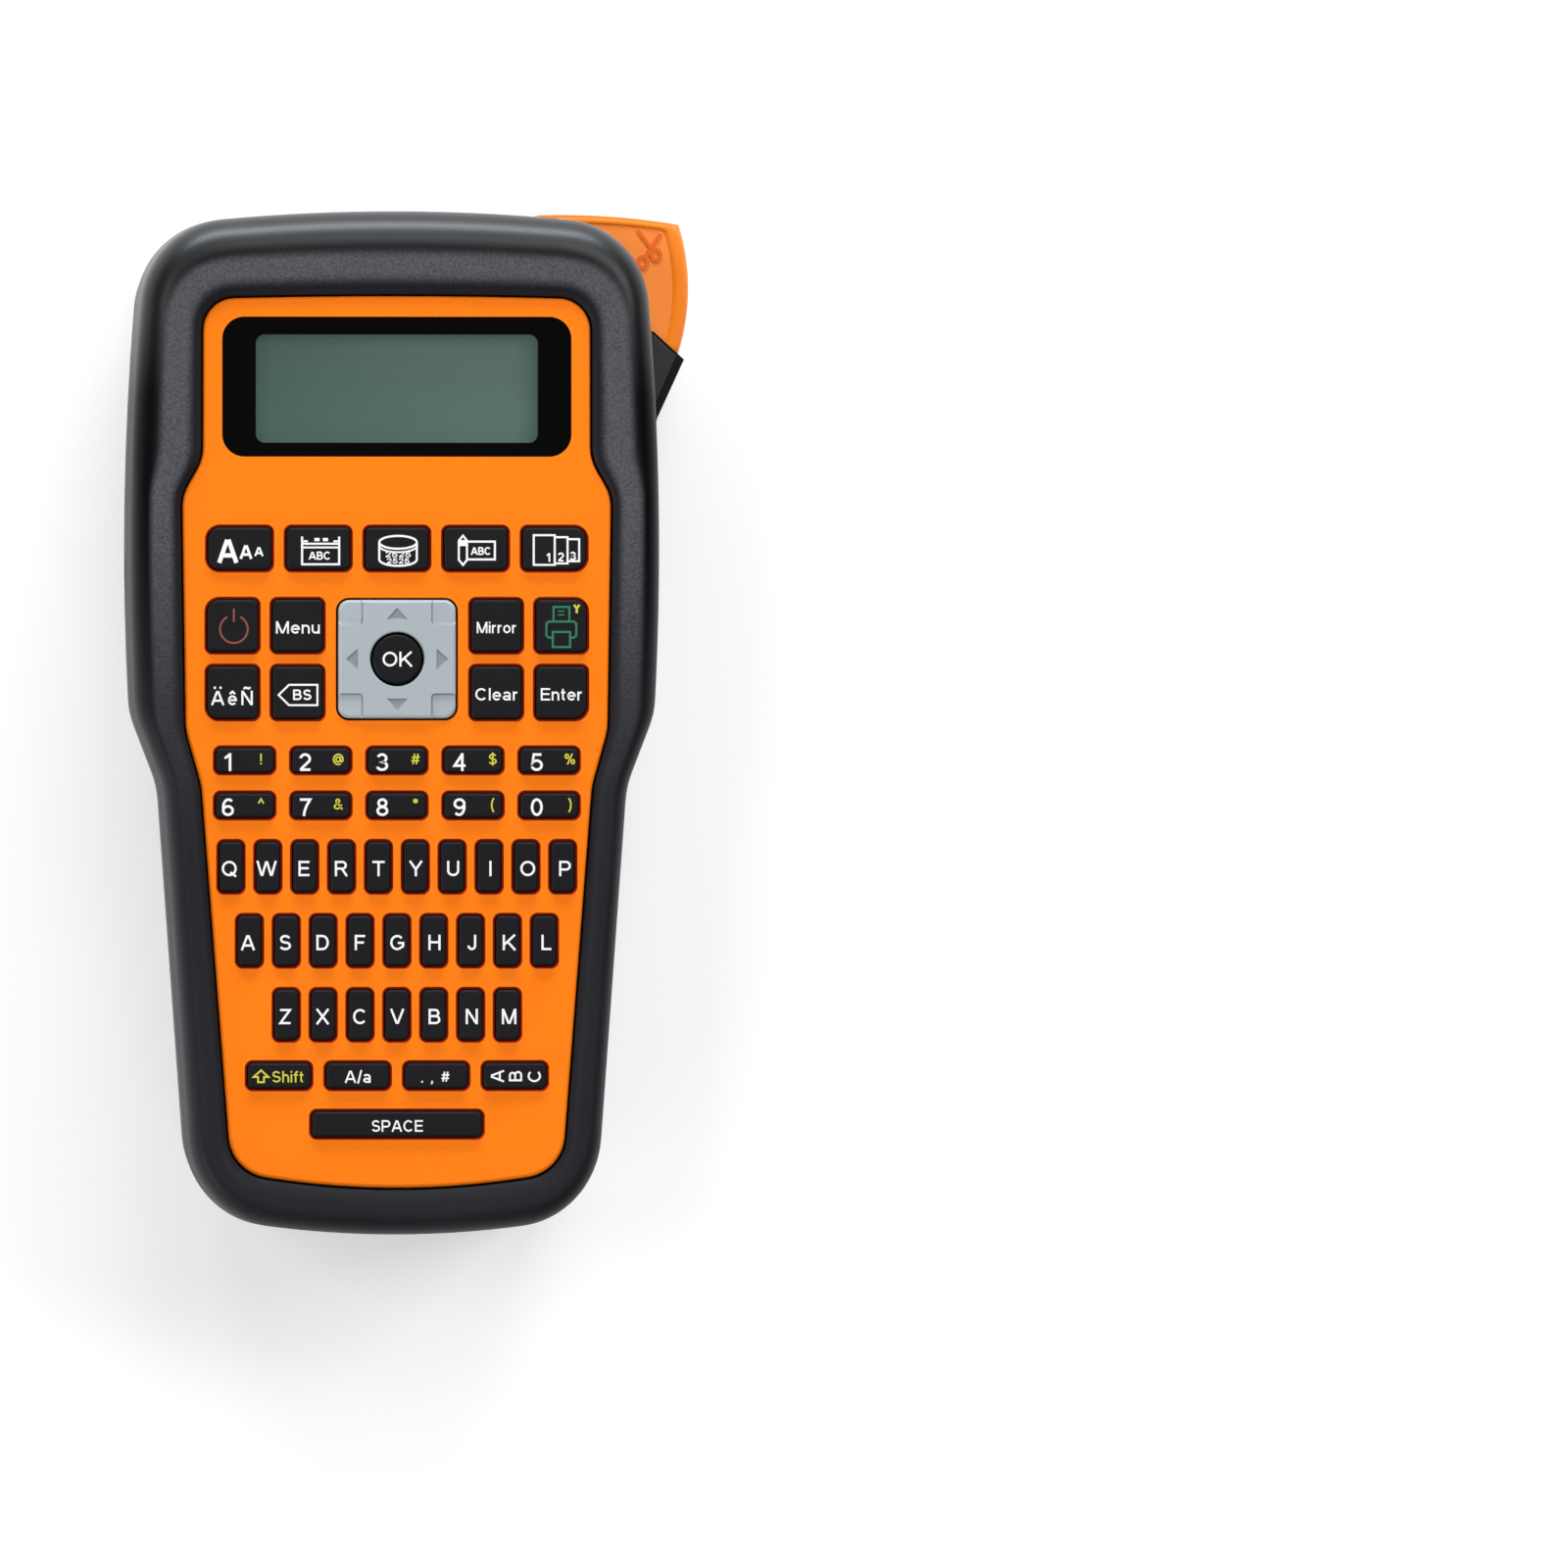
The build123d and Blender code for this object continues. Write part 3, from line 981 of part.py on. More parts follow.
# Tape cassette in its bay.
with BuildPart() as cassette_case:
    with BuildSketch(Plane.XY.offset(CASSETTE_Z + CASSETTE_WALL)):
        with Locations((CASSETTE_X, CASSETTE_Y)):
            RectangleRounded(CASSETTE_WIDTH, CASSETTE_HEIGHT, 3.0)
    extrude(amount=CASSETTE_T - CASSETTE_WALL)
    with BuildSketch(Plane.XY.offset(CASSETTE_Z + CASSETTE_WALL)):
        with Locations((CASSETTE_X, CASSETTE_Y)):
            RectangleRounded(CASSETTE_WIDTH - 2 * CASSETTE_WALL, CASSETTE_HEIGHT - 2 * CASSETTE_WALL, 2.0)
    extrude(amount=CASSETTE_T - 2 * CASSETTE_WALL, mode=Mode.SUBTRACT)
    with BuildSketch(Plane.XY.offset(CASSETTE_TOP_Z - CASSETTE_WALL)):
        with Locations((ROLL_X, ROLL_Y)):
            Circle(ROLL_HUB_R)
    extrude(amount=2 * CASSETTE_WALL - CASSETTE_T + 0.2)
    with BuildSketch(Plane.XY.offset(CASSETTE_TOP_Z)):
        with Locations((TAKEUP_X, IDLER_Y)):
            Circle(SPINDLE_R + 0.8)
    extrude(amount=-CASSETTE_WALL, mode=Mode.SUBTRACT)
    with Locations((CASSETTE_RIGHT, TAPE_Y, TAPE_Z)):
        Box(3.0, 3.0, TAPE_WIDTH + 0.6, mode=Mode.SUBTRACT)
save(cassette_case, "cassette_case")

with BuildPart() as cassette_lid:
    with BuildSketch(Plane.XY.offset(CASSETTE_Z)):
        with Locations((CASSETTE_X, CASSETTE_Y)):
            RectangleRounded(CASSETTE_WIDTH, CASSETTE_HEIGHT, 3.0)
        with Locations((TAKEUP_X, IDLER_Y)):
            Circle(SPINDLE_R + 0.8, mode=Mode.SUBTRACT)
    extrude(amount=CASSETTE_WALL)
save(cassette_lid, "cassette_lid")

with BuildPart() as tape_roll:
    with BuildSketch(Plane.XY.offset(TAPE_Z - TAPE_WIDTH / 2)):
        with Locations((ROLL_X, ROLL_Y)):
            Circle(ROLL_R)
            Circle(ROLL_HUB_R + FIT, mode=Mode.SUBTRACT)
    extrude(amount=TAPE_WIDTH)
save(tape_roll, "tape_roll")

with BuildPart() as ribbon_spool:
    with BuildSketch(Plane.XY.offset(TAPE_Z - TAPE_WIDTH / 2)):
        with Locations((TAKEUP_X, IDLER_Y)):
            Circle(SPOOL_R)
            Circle(SPINDLE_R + 0.1, mode=Mode.SUBTRACT)
    extrude(amount=TAPE_WIDTH)
save(ribbon_spool, "ribbon_spool")

# Cutter: a lever on a pin carries a curved blade past a fixed one at the tape exit.
TIP_ANGLE = -15.0
LIP_ANGLE = -20.5
EDGE_ANGLE = -21.5
CREST_ANGLE = 17.4
INNER_R = 31.0
with BuildPart() as cutter_lever:
    with BuildSketch(Plane.XY.offset(LEVER_Z0)):
        with BuildLine():
            ThreePointArc(polar(LEVER_R, LIP_ANGLE), polar(LEVER_R, -2.0), polar(LEVER_R, CREST_ANGLE))
            ThreePointArc(polar(LEVER_R, CREST_ANGLE), (PIVOT_X + 28.8, CASE_TOP - 0.85),
                          (PIVOT_X + 12.6, CASE_TOP - 0.45))
            Polyline((PIVOT_X + 12.6, CASE_TOP - 0.45), (PIVOT_X + 9.1, PIVOT_Y + 7.8),
                     (PIVOT_X - 2.0, PIVOT_Y + 4.4), (PIVOT_X + 2.0, PIVOT_Y - 4.4),
                     (PIVOT_X + 21.6, PIVOT_Y - 1.3), polar(INNER_R, -2.0))
            ThreePointArc(polar(INNER_R, -2.0), polar(INNER_R, -8.0), polar(INNER_R, TIP_ANGLE))
            Line(polar(INNER_R, TIP_ANGLE), polar(LEVER_LIP_R, TIP_ANGLE))
            ThreePointArc(polar(LEVER_LIP_R, TIP_ANGLE), polar(LEVER_LIP_R, -18.0),
                          polar(LEVER_LIP_R, LIP_ANGLE))
            Line(polar(LEVER_LIP_R, LIP_ANGLE), polar(LEVER_R, LIP_ANGLE))
        make_face()
    extrude(amount=LEVER_Z1 - LEVER_Z0)
    rim = cutter_lever.edges().filter_by(GeomType.CIRCLE).filter_by(lambda e: abs(e.radius - LEVER_R) < 0.01)
    fillet(rim, 1.6)
    with BuildSketch(Plane.XY.offset(CASE_FLOOR_Z + BAY_WALL + 0.6)):
        with Locations((PIVOT_X, PIVOT_Y)):
            Circle(LEVER_HUB_R)
    extrude(amount=NOTCH_Z1 - CASE_FLOOR_Z - BAY_WALL - 0.6)
    with BuildSketch(Plane.XY):
        with Locations((PIVOT_X, PIVOT_Y)):
            Circle(PIN_R + FIT)
    extrude(amount=PARTING_Z, mode=Mode.SUBTRACT)
    with BuildSketch(Plane.XY.offset(LEVER_Z0 + 1.0)):
        add(ring_sector(BLADE_R - BLADE_T / 2 - FIT, BLADE_R + BLADE_T / 2 + FIT, TIP_ANGLE - 1.0, TIP_ANGLE + 3.0))
    extrude(amount=LEVER_Z1 - LEVER_Z0 - 2.0, mode=Mode.SUBTRACT)
save(cutter_lever, "cutter_lever")

with BuildPart() as moving_blade:
    with BuildSketch(Plane.XY.offset(LEVER_Z0 + 1.0 + FIT)):
        add(ring_sector(BLADE_R - BLADE_T / 2, BLADE_R + BLADE_T / 2, EDGE_ANGLE, TIP_ANGLE + 2.9))
    extrude(amount=LEVER_Z1 - LEVER_Z0 - 2.0 - 2 * FIT)
save(moving_blade, "moving_blade")

with BuildPart() as cutter_pin:
    with BuildSketch(Plane.XY.offset(CASE_FLOOR_Z)):
        with Locations((PIVOT_X, PIVOT_Y)):
            Circle(PIN_R)
    extrude(amount=PLATE_TOP_Z - CASE_FLOOR_Z)
save(cutter_pin, "cutter_pin")

# Tape guide: a wedge in the notch with a curved pocket for the lever and a slot for the tape.
POCKET_Z0 = NOTCH_Z0 + GUIDE_WALL
POCKET_Z1 = NOTCH_Z1 - (NOTCH_Z1 - LEVER_Z1) + 0.3
with BuildPart() as tape_guide:
    with BuildSketch(Plane.XY.offset(NOTCH_Z0)):
        with BuildLine():
            Polyline((GUIDE_IN, GUIDE_LOW_Y), (GUIDE_OUT_X - 0.2, GUIDE_LOW_Y),
                     (GUIDE_OUT_X, TAPE_Y - GUIDE_DROP), polar(LEVER_R + GUIDE_TIP_RIM, GUIDE_TIP_ANGLE),
                     (CASE_HALF + 0.55, TAPE_Y + 7.5), (GUIDE_IN, TAPE_Y + 7.5), close=True)
        make_face()
    extrude(amount=NOTCH_Z1 - NOTCH_Z0)
    with BuildSketch(Plane.XY.offset(POCKET_Z0)):
        add(ring_sector(INNER_R - 5.0, LEVER_R + 0.4, -60.0, 20.0))
    extrude(amount=POCKET_Z1 - POCKET_Z0, mode=Mode.SUBTRACT)
    with Locations((PIVOT_X + LEVER_R - TAPE_SLOT_IN, TAPE_Y, TAPE_Z)):
        Box(TAPE_SLOT_LENGTH, TAPE_SLOT_T, TAPE_WIDTH + 0.4, mode=Mode.SUBTRACT)
save(tape_guide, "tape_guide")

with BuildPart() as fixed_blade:
    with BuildSketch(Plane.XY.offset(POCKET_Z0)):
        add(ring_sector(BLADE_R - BLADE_T / 2 - 0.7, BLADE_R - BLADE_T / 2 - 0.1, -34.0, -24.6))
    extrude(amount=POCKET_Z1 - POCKET_Z0)
save(fixed_blade, "fixed_blade")

# Return spring: a coil round the lower hub with one leg to the floor side.
COIL_WIRE_R = 0.4
COIL_R = LEVER_HUB_R + COIL_WIRE_R + 0.25
COIL_Z = CASE_FLOOR_Z + BAY_WALL + 1.0
COIL_TURNS = 3
COIL_PITCH = 0.9
with BuildPart() as cutter_spring:
    with BuildLine() as coil:
        Helix(COIL_PITCH, COIL_PITCH * COIL_TURNS, COIL_R, center=(PIVOT_X, PIVOT_Y, COIL_Z))
    with BuildSketch(Plane(origin=coil.line @ 0, z_dir=coil.line % 0)):
        Circle(COIL_WIRE_R)
    sweep(path=coil.line, is_frenet=True)
save(cutter_spring, "cutter_spring")

# Power jack, held by its nose in the side wall.
JACK_FACE_X = -CASE_HALF + CASE_STEP + 0.6
JACK_BACK_X = -CASE_HALF + CASE_STEP + CASE_WALL + 1.4
with BuildPart() as dc_jack:
    with BuildSketch(Plane.YZ.offset(JACK_FACE_X)):
        with Locations((JACK_Y, JACK_Z)):
            Circle(JACK_NOSE_R)
    extrude(amount=JACK_BACK_X - JACK_FACE_X + 0.5)
    with Locations((JACK_BACK_X, JACK_Y, JACK_Z)):
        Box(JACK_LENGTH, JACK_WIDTH, JACK_HEIGHT, align=(Align.MIN, Align.CENTER, Align.CENTER))
    with BuildSketch(Plane.YZ.offset(JACK_FACE_X)):
        with Locations((JACK_Y, JACK_Z)):
            Circle(JACK_BORE_R)
            Circle(0.8, mode=Mode.SUBTRACT)
    extrude(amount=9.0, mode=Mode.SUBTRACT)
save(dc_jack, "dc_jack")
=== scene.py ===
import math

import bpy
import numpy as np
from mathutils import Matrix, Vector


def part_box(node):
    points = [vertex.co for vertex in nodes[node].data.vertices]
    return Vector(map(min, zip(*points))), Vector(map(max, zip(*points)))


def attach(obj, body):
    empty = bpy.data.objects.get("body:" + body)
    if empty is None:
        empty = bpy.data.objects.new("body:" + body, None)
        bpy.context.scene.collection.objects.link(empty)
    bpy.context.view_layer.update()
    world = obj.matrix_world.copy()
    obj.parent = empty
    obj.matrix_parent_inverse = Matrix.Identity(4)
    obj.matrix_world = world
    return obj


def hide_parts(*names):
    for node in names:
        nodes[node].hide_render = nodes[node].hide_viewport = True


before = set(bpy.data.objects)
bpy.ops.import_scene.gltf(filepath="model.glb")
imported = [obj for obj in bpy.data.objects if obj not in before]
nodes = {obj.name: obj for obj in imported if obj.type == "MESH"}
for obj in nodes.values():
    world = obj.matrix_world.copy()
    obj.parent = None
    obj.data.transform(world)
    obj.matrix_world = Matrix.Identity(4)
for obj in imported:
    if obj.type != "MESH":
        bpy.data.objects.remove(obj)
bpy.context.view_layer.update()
mm = 0.001
print("frame loaded,", len(nodes), "nodes")


class Settings(dict):
    # a dictionary whose values can also be read as attributes
    __getattr__ = dict.__getitem__


def operator(operation, reflected=False):
    # the method that adds one Math node on two values
    def work(wire, other):
        return wire.calc(operation, other, wire) if reflected else wire.calc(operation, wire, other)
    return work


class Wire:
    # one shader socket; an operator on two values adds the Math node
    __add__, __radd__ = operator("ADD"), operator("ADD", True)
    __sub__, __rsub__ = operator("SUBTRACT"), operator("SUBTRACT", True)
    __mul__, __rmul__ = operator("MULTIPLY"), operator("MULTIPLY", True)
    __pow__, top, low = operator("POWER"), operator("MAXIMUM"), operator("MINIMUM")

    def __init__(self, finish, socket):
        self.finish = finish
        self.socket = socket

    def calc(self, operation, first, second=0.0):
        return self.finish.node("ShaderNodeMath", {"operation": operation}, {0: first, 1: second})

    def __abs__(self):
        return self.calc("ABSOLUTE", self)

    def wave(self):
        # a sine between 0 and 1
        return self.calc("SINE", self) * 0.5 + 0.5

    def ramp(self, start, stop):
        # 0 before start, 1 after stop, an S between them
        settings = {"interpolation_type": "SMOOTHSTEP", "clamp": True}
        return self.finish.node("ShaderNodeMapRange", settings, {0: self, 1: start, 2: stop, 3: 0.0, 4: 1.0})


class Finish:
    # one material: a Principled shader whose fixed values are set on its own sockets
    def __init__(self, name, **fixed):
        self.material = bpy.data.materials.new(name)
        self.material.use_nodes = True
        self.tree = self.material.node_tree
        self.tree.nodes.clear()
        self.shader = self.tree.nodes.new("ShaderNodeBsdfPrincipled")
        output = self.tree.nodes.new("ShaderNodeOutputMaterial")
        self.tree.links.new(self.shader.outputs[0], output.inputs[0])
        for key, value in fixed.items():
            self.shader.inputs[key.replace("_", " ")].default_value = value

    def feed(self, socket, value):
        if isinstance(value, Wire):
            self.tree.links.new(value.socket, socket)
        else:
            socket.default_value = value

    def node(self, kind, settings=None, sockets=None, out=0):
        made = self.tree.nodes.new(kind)
        for key, value in (settings or {}).items():
            setattr(made, key, value)
        for key, value in (sockets or {}).items():
            self.feed(made.inputs[key], value)
        return Wire(self, made.outputs[out])

    def place(self):
        return self.node("ShaderNodeTexCoord", out="Object")

    def axes(self):
        split = self.node("ShaderNodeSeparateXYZ", None, {0: self.place()}).socket.node
        return [Wire(self, split.outputs[index]) for index in range(3)]

    def trait(self, name):
        return self.node("ShaderNodeAttribute", {"attribute_name": name}, out="Fac")

    def noise(self, scale, detail=2.0, rough=0.5):
        sockets = {"Vector": self.place(), "Scale": scale, "Detail": detail, "Roughness": rough}
        return self.node("ShaderNodeTexNoise", None, sockets)

    def cloud(self, scale):
        # a slow noise with some more detail
        return self.noise(scale, 3.0)

    def tint(self, share, first, second):
        return self.node("ShaderNodeMix", {"data_type": "RGBA"}, {0: share, 6: first, 7: second}, 2)

    def vary(self, share, colour, least, most):
        # one colour, from its darker to its lighter shade
        return self.tint(share, shade(colour, least), shade(colour, most))

    def dress(self, colour, rough, height=None, depth=0.0, strength=1.0, **others):
        # others are further sockets that change over the surface, such as Alpha
        for key, value in {"Base Color": colour, "Roughness": rough, **others}.items():
            self.feed(self.shader.inputs[key.replace("_", " ")], value)
        if height is not None:
            sockets = {"Height": height, "Distance": depth, "Strength": strength}
            self.feed(self.shader.inputs["Normal"], self.node("ShaderNodeBump", None, sockets))
        return self.material


def rgb(red, green, blue):
    # screen values 0 to 255 turned into linear light
    part = np.array([red, green, blue]) / 255.0
    linear = np.where(part <= 0.04045, part / 12.92, ((part + 0.055) / 1.055) ** 2.4)
    return (*linear.tolist(), 1.0)


def shade(colour, factor):
    return tuple(min(1.0, value * factor) for value in colour[:3]) + (1.0,)


def paint(finish, *names):
    for name in names:
        for slot in nodes[name].material_slots:
            slot.material = finish


def meshPiece(name, points, faces, finish, body, slot, traits=None, smooth=True):
    # points in millimetres, faces as lists of their numbers, traits as one value for each point
    mesh = bpy.data.meshes.new(name)
    mesh.from_pydata(np.asarray(points, float) * mm, [], faces, shade_flat=not smooth)
    for key, values in (traits or {}).items():
        layer = mesh.attributes.new(key, "FLOAT", "POINT")
        layer.data.foreach_set("value", np.asarray(values, np.float32).ravel())
    mesh.materials.append(finish)
    mesh.validate()
    piece = bpy.data.objects.new(name, mesh)
    bpy.context.scene.collection.objects.link(piece)
    if body:
        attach(piece, body)
    return piece


def gridFaces(rows, cols, closedRows, closedCols):
    # quads between neighbours of a rows by cols grid, wrapped where it closes
    index = np.arange(rows * cols).reshape(rows, cols)
    down = np.roll(index, -1, 0)
    right = np.roll(index, -1, 1)
    quads = np.stack([index, right, np.roll(down, -1, 1), down], -1)
    quads = quads if closedRows else quads[:-1]
    quads = quads if closedCols else quads[:, :-1]
    return quads.reshape(-1, 4)


def tubeFaces(rows, closed):
    # sides of a four-cornered tube, with both ends covered where it isn't closed
    sides, end = gridFaces(rows, 4, closed, True), 4 * rows
    return sides if closed else np.vstack([sides, [[3, 2, 1, 0], [end - 4, end - 3, end - 2, end - 1]]])


def outward(points, quads):
    # signed volume of the closed surface; a negative one is turned round
    a, b, c, d = (points[quads[:, k]] for k in range(4))
    return quads if (a * np.cross(c, d - b)).sum() > 0 else quads[:, ::-1]


def gridPiece(name, points, closedRows, finish, body, slot, traits=None):
    # a grid whose columns run round a closed section
    flat = points.reshape(-1, 3)
    quads = outward(flat, gridFaces(*points.shape[:2], closedRows, True))
    return meshPiece(name, flat, quads, finish, body, slot, traits)


def joined(parts):
    # points and quads of several parts as one, each part's quads counted on from the last
    shifts = np.cumsum([0] + [len(points) for points, quads in parts])
    return (np.vstack([points for points, quads in parts]),
            np.vstack([quads + shift for (points, quads), shift in zip(parts, shifts)]))


def rise(value, start, stop):
    # 0 at start and 1 at stop, straight between them; stop may be the lower one
    return np.clip((value - start) / (stop - start), 0, 1)


def ease(share):
    return share * share * (3 - 2 * share)


def unit(vector):
    return vector / np.linalg.norm(vector, axis=-1, keepdims=True)


def circle(angle):
    return np.stack([np.cos(angle), np.sin(angle)], -1)


def leftward(vector):
    return np.stack([-vector[:, 1], vector[:, 0]], -1)


def lifted(spots, height):
    # flat points given their heights
    return np.concatenate([spots, height[..., None]], -1)


def lengths(line):
    return np.concatenate([[0.0], np.cumsum(np.linalg.norm(np.diff(line, axis=0), axis=1))])


def walk(line, places):
    # points of a polyline at given distances along it
    along = lengths(line)
    return np.stack([np.interp(places, along, side) for side in line.T], -1)


def arcThrough(first, middle, last, count):
    # the circle through three points, walked from the first to the last by equal angles
    a, b, c = (np.array(point, float) for point in (first, middle, last))
    centre = np.linalg.solve(2 * np.array([b - a, c - a]), [b @ b - a @ a, c @ c - a @ a])
    start = math.atan2(*(a - centre)[::-1])
    turn = (math.atan2(*(c - centre)[::-1]) - start + math.pi) % (2 * math.pi) - math.pi
    angles = start + turn * np.linspace(0, 1, count)
    return centre + np.linalg.norm(a - centre) * circle(angles)


def roundJoints(runs, radii, runSteps=200, bendSteps=24):
    # runs meet at corners; each corner is cut back and bridged by a cubic of that radius
    line = runs[0]
    for run, radius in zip(runs[1:], radii):
        turnCos = float(np.clip(unit(line[-1] - line[-2]) @ unit(run[1] - run[0]), -1, 1))
        cut = radius * math.tan(math.acos(turnCos) / 2)
        total = lengths(line)[-1]
        line = walk(line, np.append(np.linspace(0, total - cut, runSteps)[:-1], total - cut))
        rest = walk(run, np.linspace(cut, lengths(run)[-1], runSteps))
        inward, leave = unit(line[-1] - line[-2]), unit(rest[1] - rest[0])
        angle = math.acos(float(np.clip(inward @ leave, -1, 1)))
        reach = np.linalg.norm(rest[0] - line[-1]) / (2 * math.sin(angle / 2))
        handle = 4 / 3 * math.tan(angle / 4) * reach
        t = np.linspace(0, 1, bendSteps)[1:-1, None]
        p0, p1, p2, p3 = line[-1], line[-1] + inward * handle, rest[0] - leave * handle, rest[0]
        bridge = (1 - t) ** 3 * p0 + 3 * (1 - t) ** 2 * t * p1 + 3 * (1 - t) * t * t * p2 + t ** 3 * p3
        line = np.concatenate([line, bridge, rest])
    return line


def stations(line, marks, counts):
    # samples of a half outline, spaced evenly between the places nearest to the marks
    along = lengths(line)
    near = [along[np.argmin(np.linalg.norm(line - np.array(mark), axis=1))] for mark in marks]
    stops = [0.0] + near + [along[-1]]
    spots = [np.linspace(a, b, n, endpoint=False) for a, b, n in zip(stops, stops[1:], counts)]
    return walk(line, np.append(np.concatenate(spots), along[-1]))


printBlack = (0.001, 0.001, 0.0011, 1.0)


def windowSeat(finish):
    # 1 on the walls below the display window, which are painted black
    look = Settings({"halfWide": 0.0352, "halfHigh": 0.0141, "centreY": 0.0675, "top": 0.0562,
                     "soft": 0.0001})
    x, y, z = finish.axes()
    across = 1.0 - abs(x).ramp(look.halfWide, look.halfWide + look.soft)
    along = 1.0 - abs(y - look.centreY).ramp(look.halfHigh, look.halfHigh + look.soft)
    return across * along * (1.0 - z.ramp(look.top, look.top + look.soft))


def mouldedPlastic(name, colour, rough, grain, depth, mottle, level, seat=None):
    # fine spark-eroded grain, a slow drift of colour and of gloss; seat marks where it is black
    look = Settings({"drift": 28.0, "speck": (0.35, 0.75), "speckShare": 0.35, "speckLight": 1.35,
                     "driftGloss": 0.14, "fineGloss": 0.12})
    finish = Finish(name, Specular_IOR_Level=level)
    drift = finish.cloud(look.drift)
    fine = finish.noise(grain, rough=0.6)
    colours = finish.vary(drift, colour, 1 - mottle, 1 + mottle)
    colours = finish.tint(fine.ramp(*look.speck) * look.speckShare, colours, shade(colour, look.speckLight))
    if seat:
        colours = finish.tint(seat(finish), colours, printBlack)
    gloss = rough + (drift - 0.5) * look.driftGloss + (fine - 0.5) * look.fineGloss
    return finish.dress(colours, gloss, fine, depth)


def brushedMetal(name, colour, rough, along):
    # streaks drawn out along one axis, over a clouded polish
    look = Settings({"along": 40.0, "across": 2600.0, "cloud": 90.0, "streakGloss": 0.2, "cloudGloss": 0.1,
                     "shades": (0.8, 1.1), "depth": 1e-5, "strength": 0.5})
    finish = Finish(name, Metallic=1.0)
    stretch = tuple(look.along if axis == along else look.across for axis in range(3))
    spot = finish.node("ShaderNodeMapping", None, {"Vector": finish.place(), "Scale": stretch})
    streak = finish.node("ShaderNodeTexNoise", None, {"Vector": spot, "Scale": 1.0, "Detail": 3.0})
    cloud = finish.noise(look.cloud)
    colours = finish.vary(streak, colour, *look.shades)
    gloss = rough + (streak - 0.5) * look.streakGloss + (cloud - 0.5) * look.cloudGloss
    return finish.dress(colours, gloss, streak, look.depth, look.strength)


def inkFinish(name, colour):
    # screen print: slightly uneven cover and edges of gloss
    look = Settings({"cover": 1400.0, "shades": (0.9, 1.05), "rough": 0.5, "coverGloss": 0.15,
                     "depth": 4e-6})
    finish = Finish(name, Specular_IOR_Level=0.3)
    cover = finish.noise(look.cover)
    colours = finish.vary(cover, colour, *look.shades)
    return finish.dress(colours, look.rough + (cover - 0.5) * look.coverGloss, cover, look.depth)


# screen colour, roughness, grain's scale and depth, mottle, specular level, and the nodes that wear it
mouldings = {
    "panelOrange": ((253, 122, 10), 0.5, 5200.0, 6e-6, 0.03, 0.12, ["front_panel"]),
    "leverOrange": ((254, 136, 52), 0.42, 4200.0, 8e-6, 0.04, 0.35, ["cutter_lever"]),
    "keyBlack": ((19, 19, 22), 0.55, 6000.0, 8e-6, 0.15, 0.12, [name for name in nodes if "_key" in name]),
    "leverRimOrange": ((252, 130, 24), 0.45, 4200.0, 8e-6, 0.05, 0.25, []),
    # the sign's darker orange is painted shade of its raised strokes
    "leverSign": ((230, 98, 20), 0.5, 4200.0, 8e-6, 0.05, 0.3, []),
    # the gap rings' dark maroon is painted shade with painted orange bounce light from the hole walls
    "keyWellShadeMaroon": ((172, 40, 12), 0.6, 5200.0, 6e-6, 0.12, 0.1, []),
    "caseCharcoal": ((46, 45, 49), 0.5, 2600.0, 3e-5, 0.12, 0.5, ["rear_case"]),
    "coverCharcoal": ((52, 51, 55), 0.55, 2200.0, 4e-5, 0.12, 0.5, ["rear_cover"]),
    "guideGraphite": ((18, 17, 20), 0.42, 3000.0, 2e-5, 0.1, 0.15, ["tape_guide"]),
    # the cap's lighter grey is painted light on the top face of the near-black guide
    "guideCapLitGrey": ((40, 39, 42), 0.5, 3000.0, 2e-5, 0.1, 0.3, []),
    "bayGrey": ((64, 64, 68), 0.6, 2400.0, 2e-5, 0.1, 0.5, ["inner_chassis", "takeup_spindle"]),
    "holderGrey": ((70, 72, 74), 0.6, 2400.0, 2e-5, 0.1, 0.5, ["lcd_holder", "nav_carrier", "ribbon_spool"]),
    "matRubber": ((96, 98, 102), 0.75, 1800.0, 2e-5, 0.08, 0.5, ["keypad_mat"]),
    "rollerRubber": ((34, 34, 36), 0.7, 2400.0, 2e-5, 0.1, 0.5, ["platen_roller"]),
    "gearNylon": ((226, 222, 208), 0.4, 2600.0, 1e-5, 0.05, 0.5,
                  ["idler_gear", "platen_gear", "motor_pinion"]),
    "cassetteSmoke": ((142, 146, 150), 0.35, 2800.0, 1e-5, 0.08, 0.5, ["cassette_case", "cassette_lid"]),
    "jackBlack": ((24, 24, 26), 0.38, 2800.0, 1e-5, 0.1, 0.5, ["dc_jack"]),
}
# colour in linear light, roughness, the axis that its streaks follow, and the nodes that wear it
metals = {
    "plateSteel": ((0.56, 0.57, 0.58, 1.0), 0.34, 0, ["mech_plate", "roller_holder", "case_screws",
                                                      "board_screws", "moving_blade", "fixed_blade"]),
    "shaftSteel": ((0.62, 0.62, 0.62, 1.0), 0.25, 2, ["platen_shaft", "cutter_pin", "cutter_spring"]),
    "contactNickel": ((0.68, 0.66, 0.6, 1.0), 0.3, 1, ["battery_contacts"]),
    "sinkAluminium": ((0.75, 0.75, 0.76, 1.0), 0.38, 1, ["heat_sink", "print_head"]),
}
finishes = {}
for name, (colour, *values, wearers) in mouldings.items():
    seat = windowSeat if name == "panelOrange" else None
    finishes[name] = mouldedPlastic(name, rgb(*colour), *values, seat)
    paint(finishes[name], *wearers)
for name, (*values, wearers) in metals.items():
    paint(brushedMetal(name, *values), *wearers)
whiteInk = inkFinish("legendWhite", rgb(238, 238, 238))
yellowInk = inkFinish("legendYellow", rgb(206, 197, 62))
greenInk = inkFinish("legendGreen", rgb(36, 116, 80))
redInk = inkFinish("legendRust", rgb(134, 68, 60))


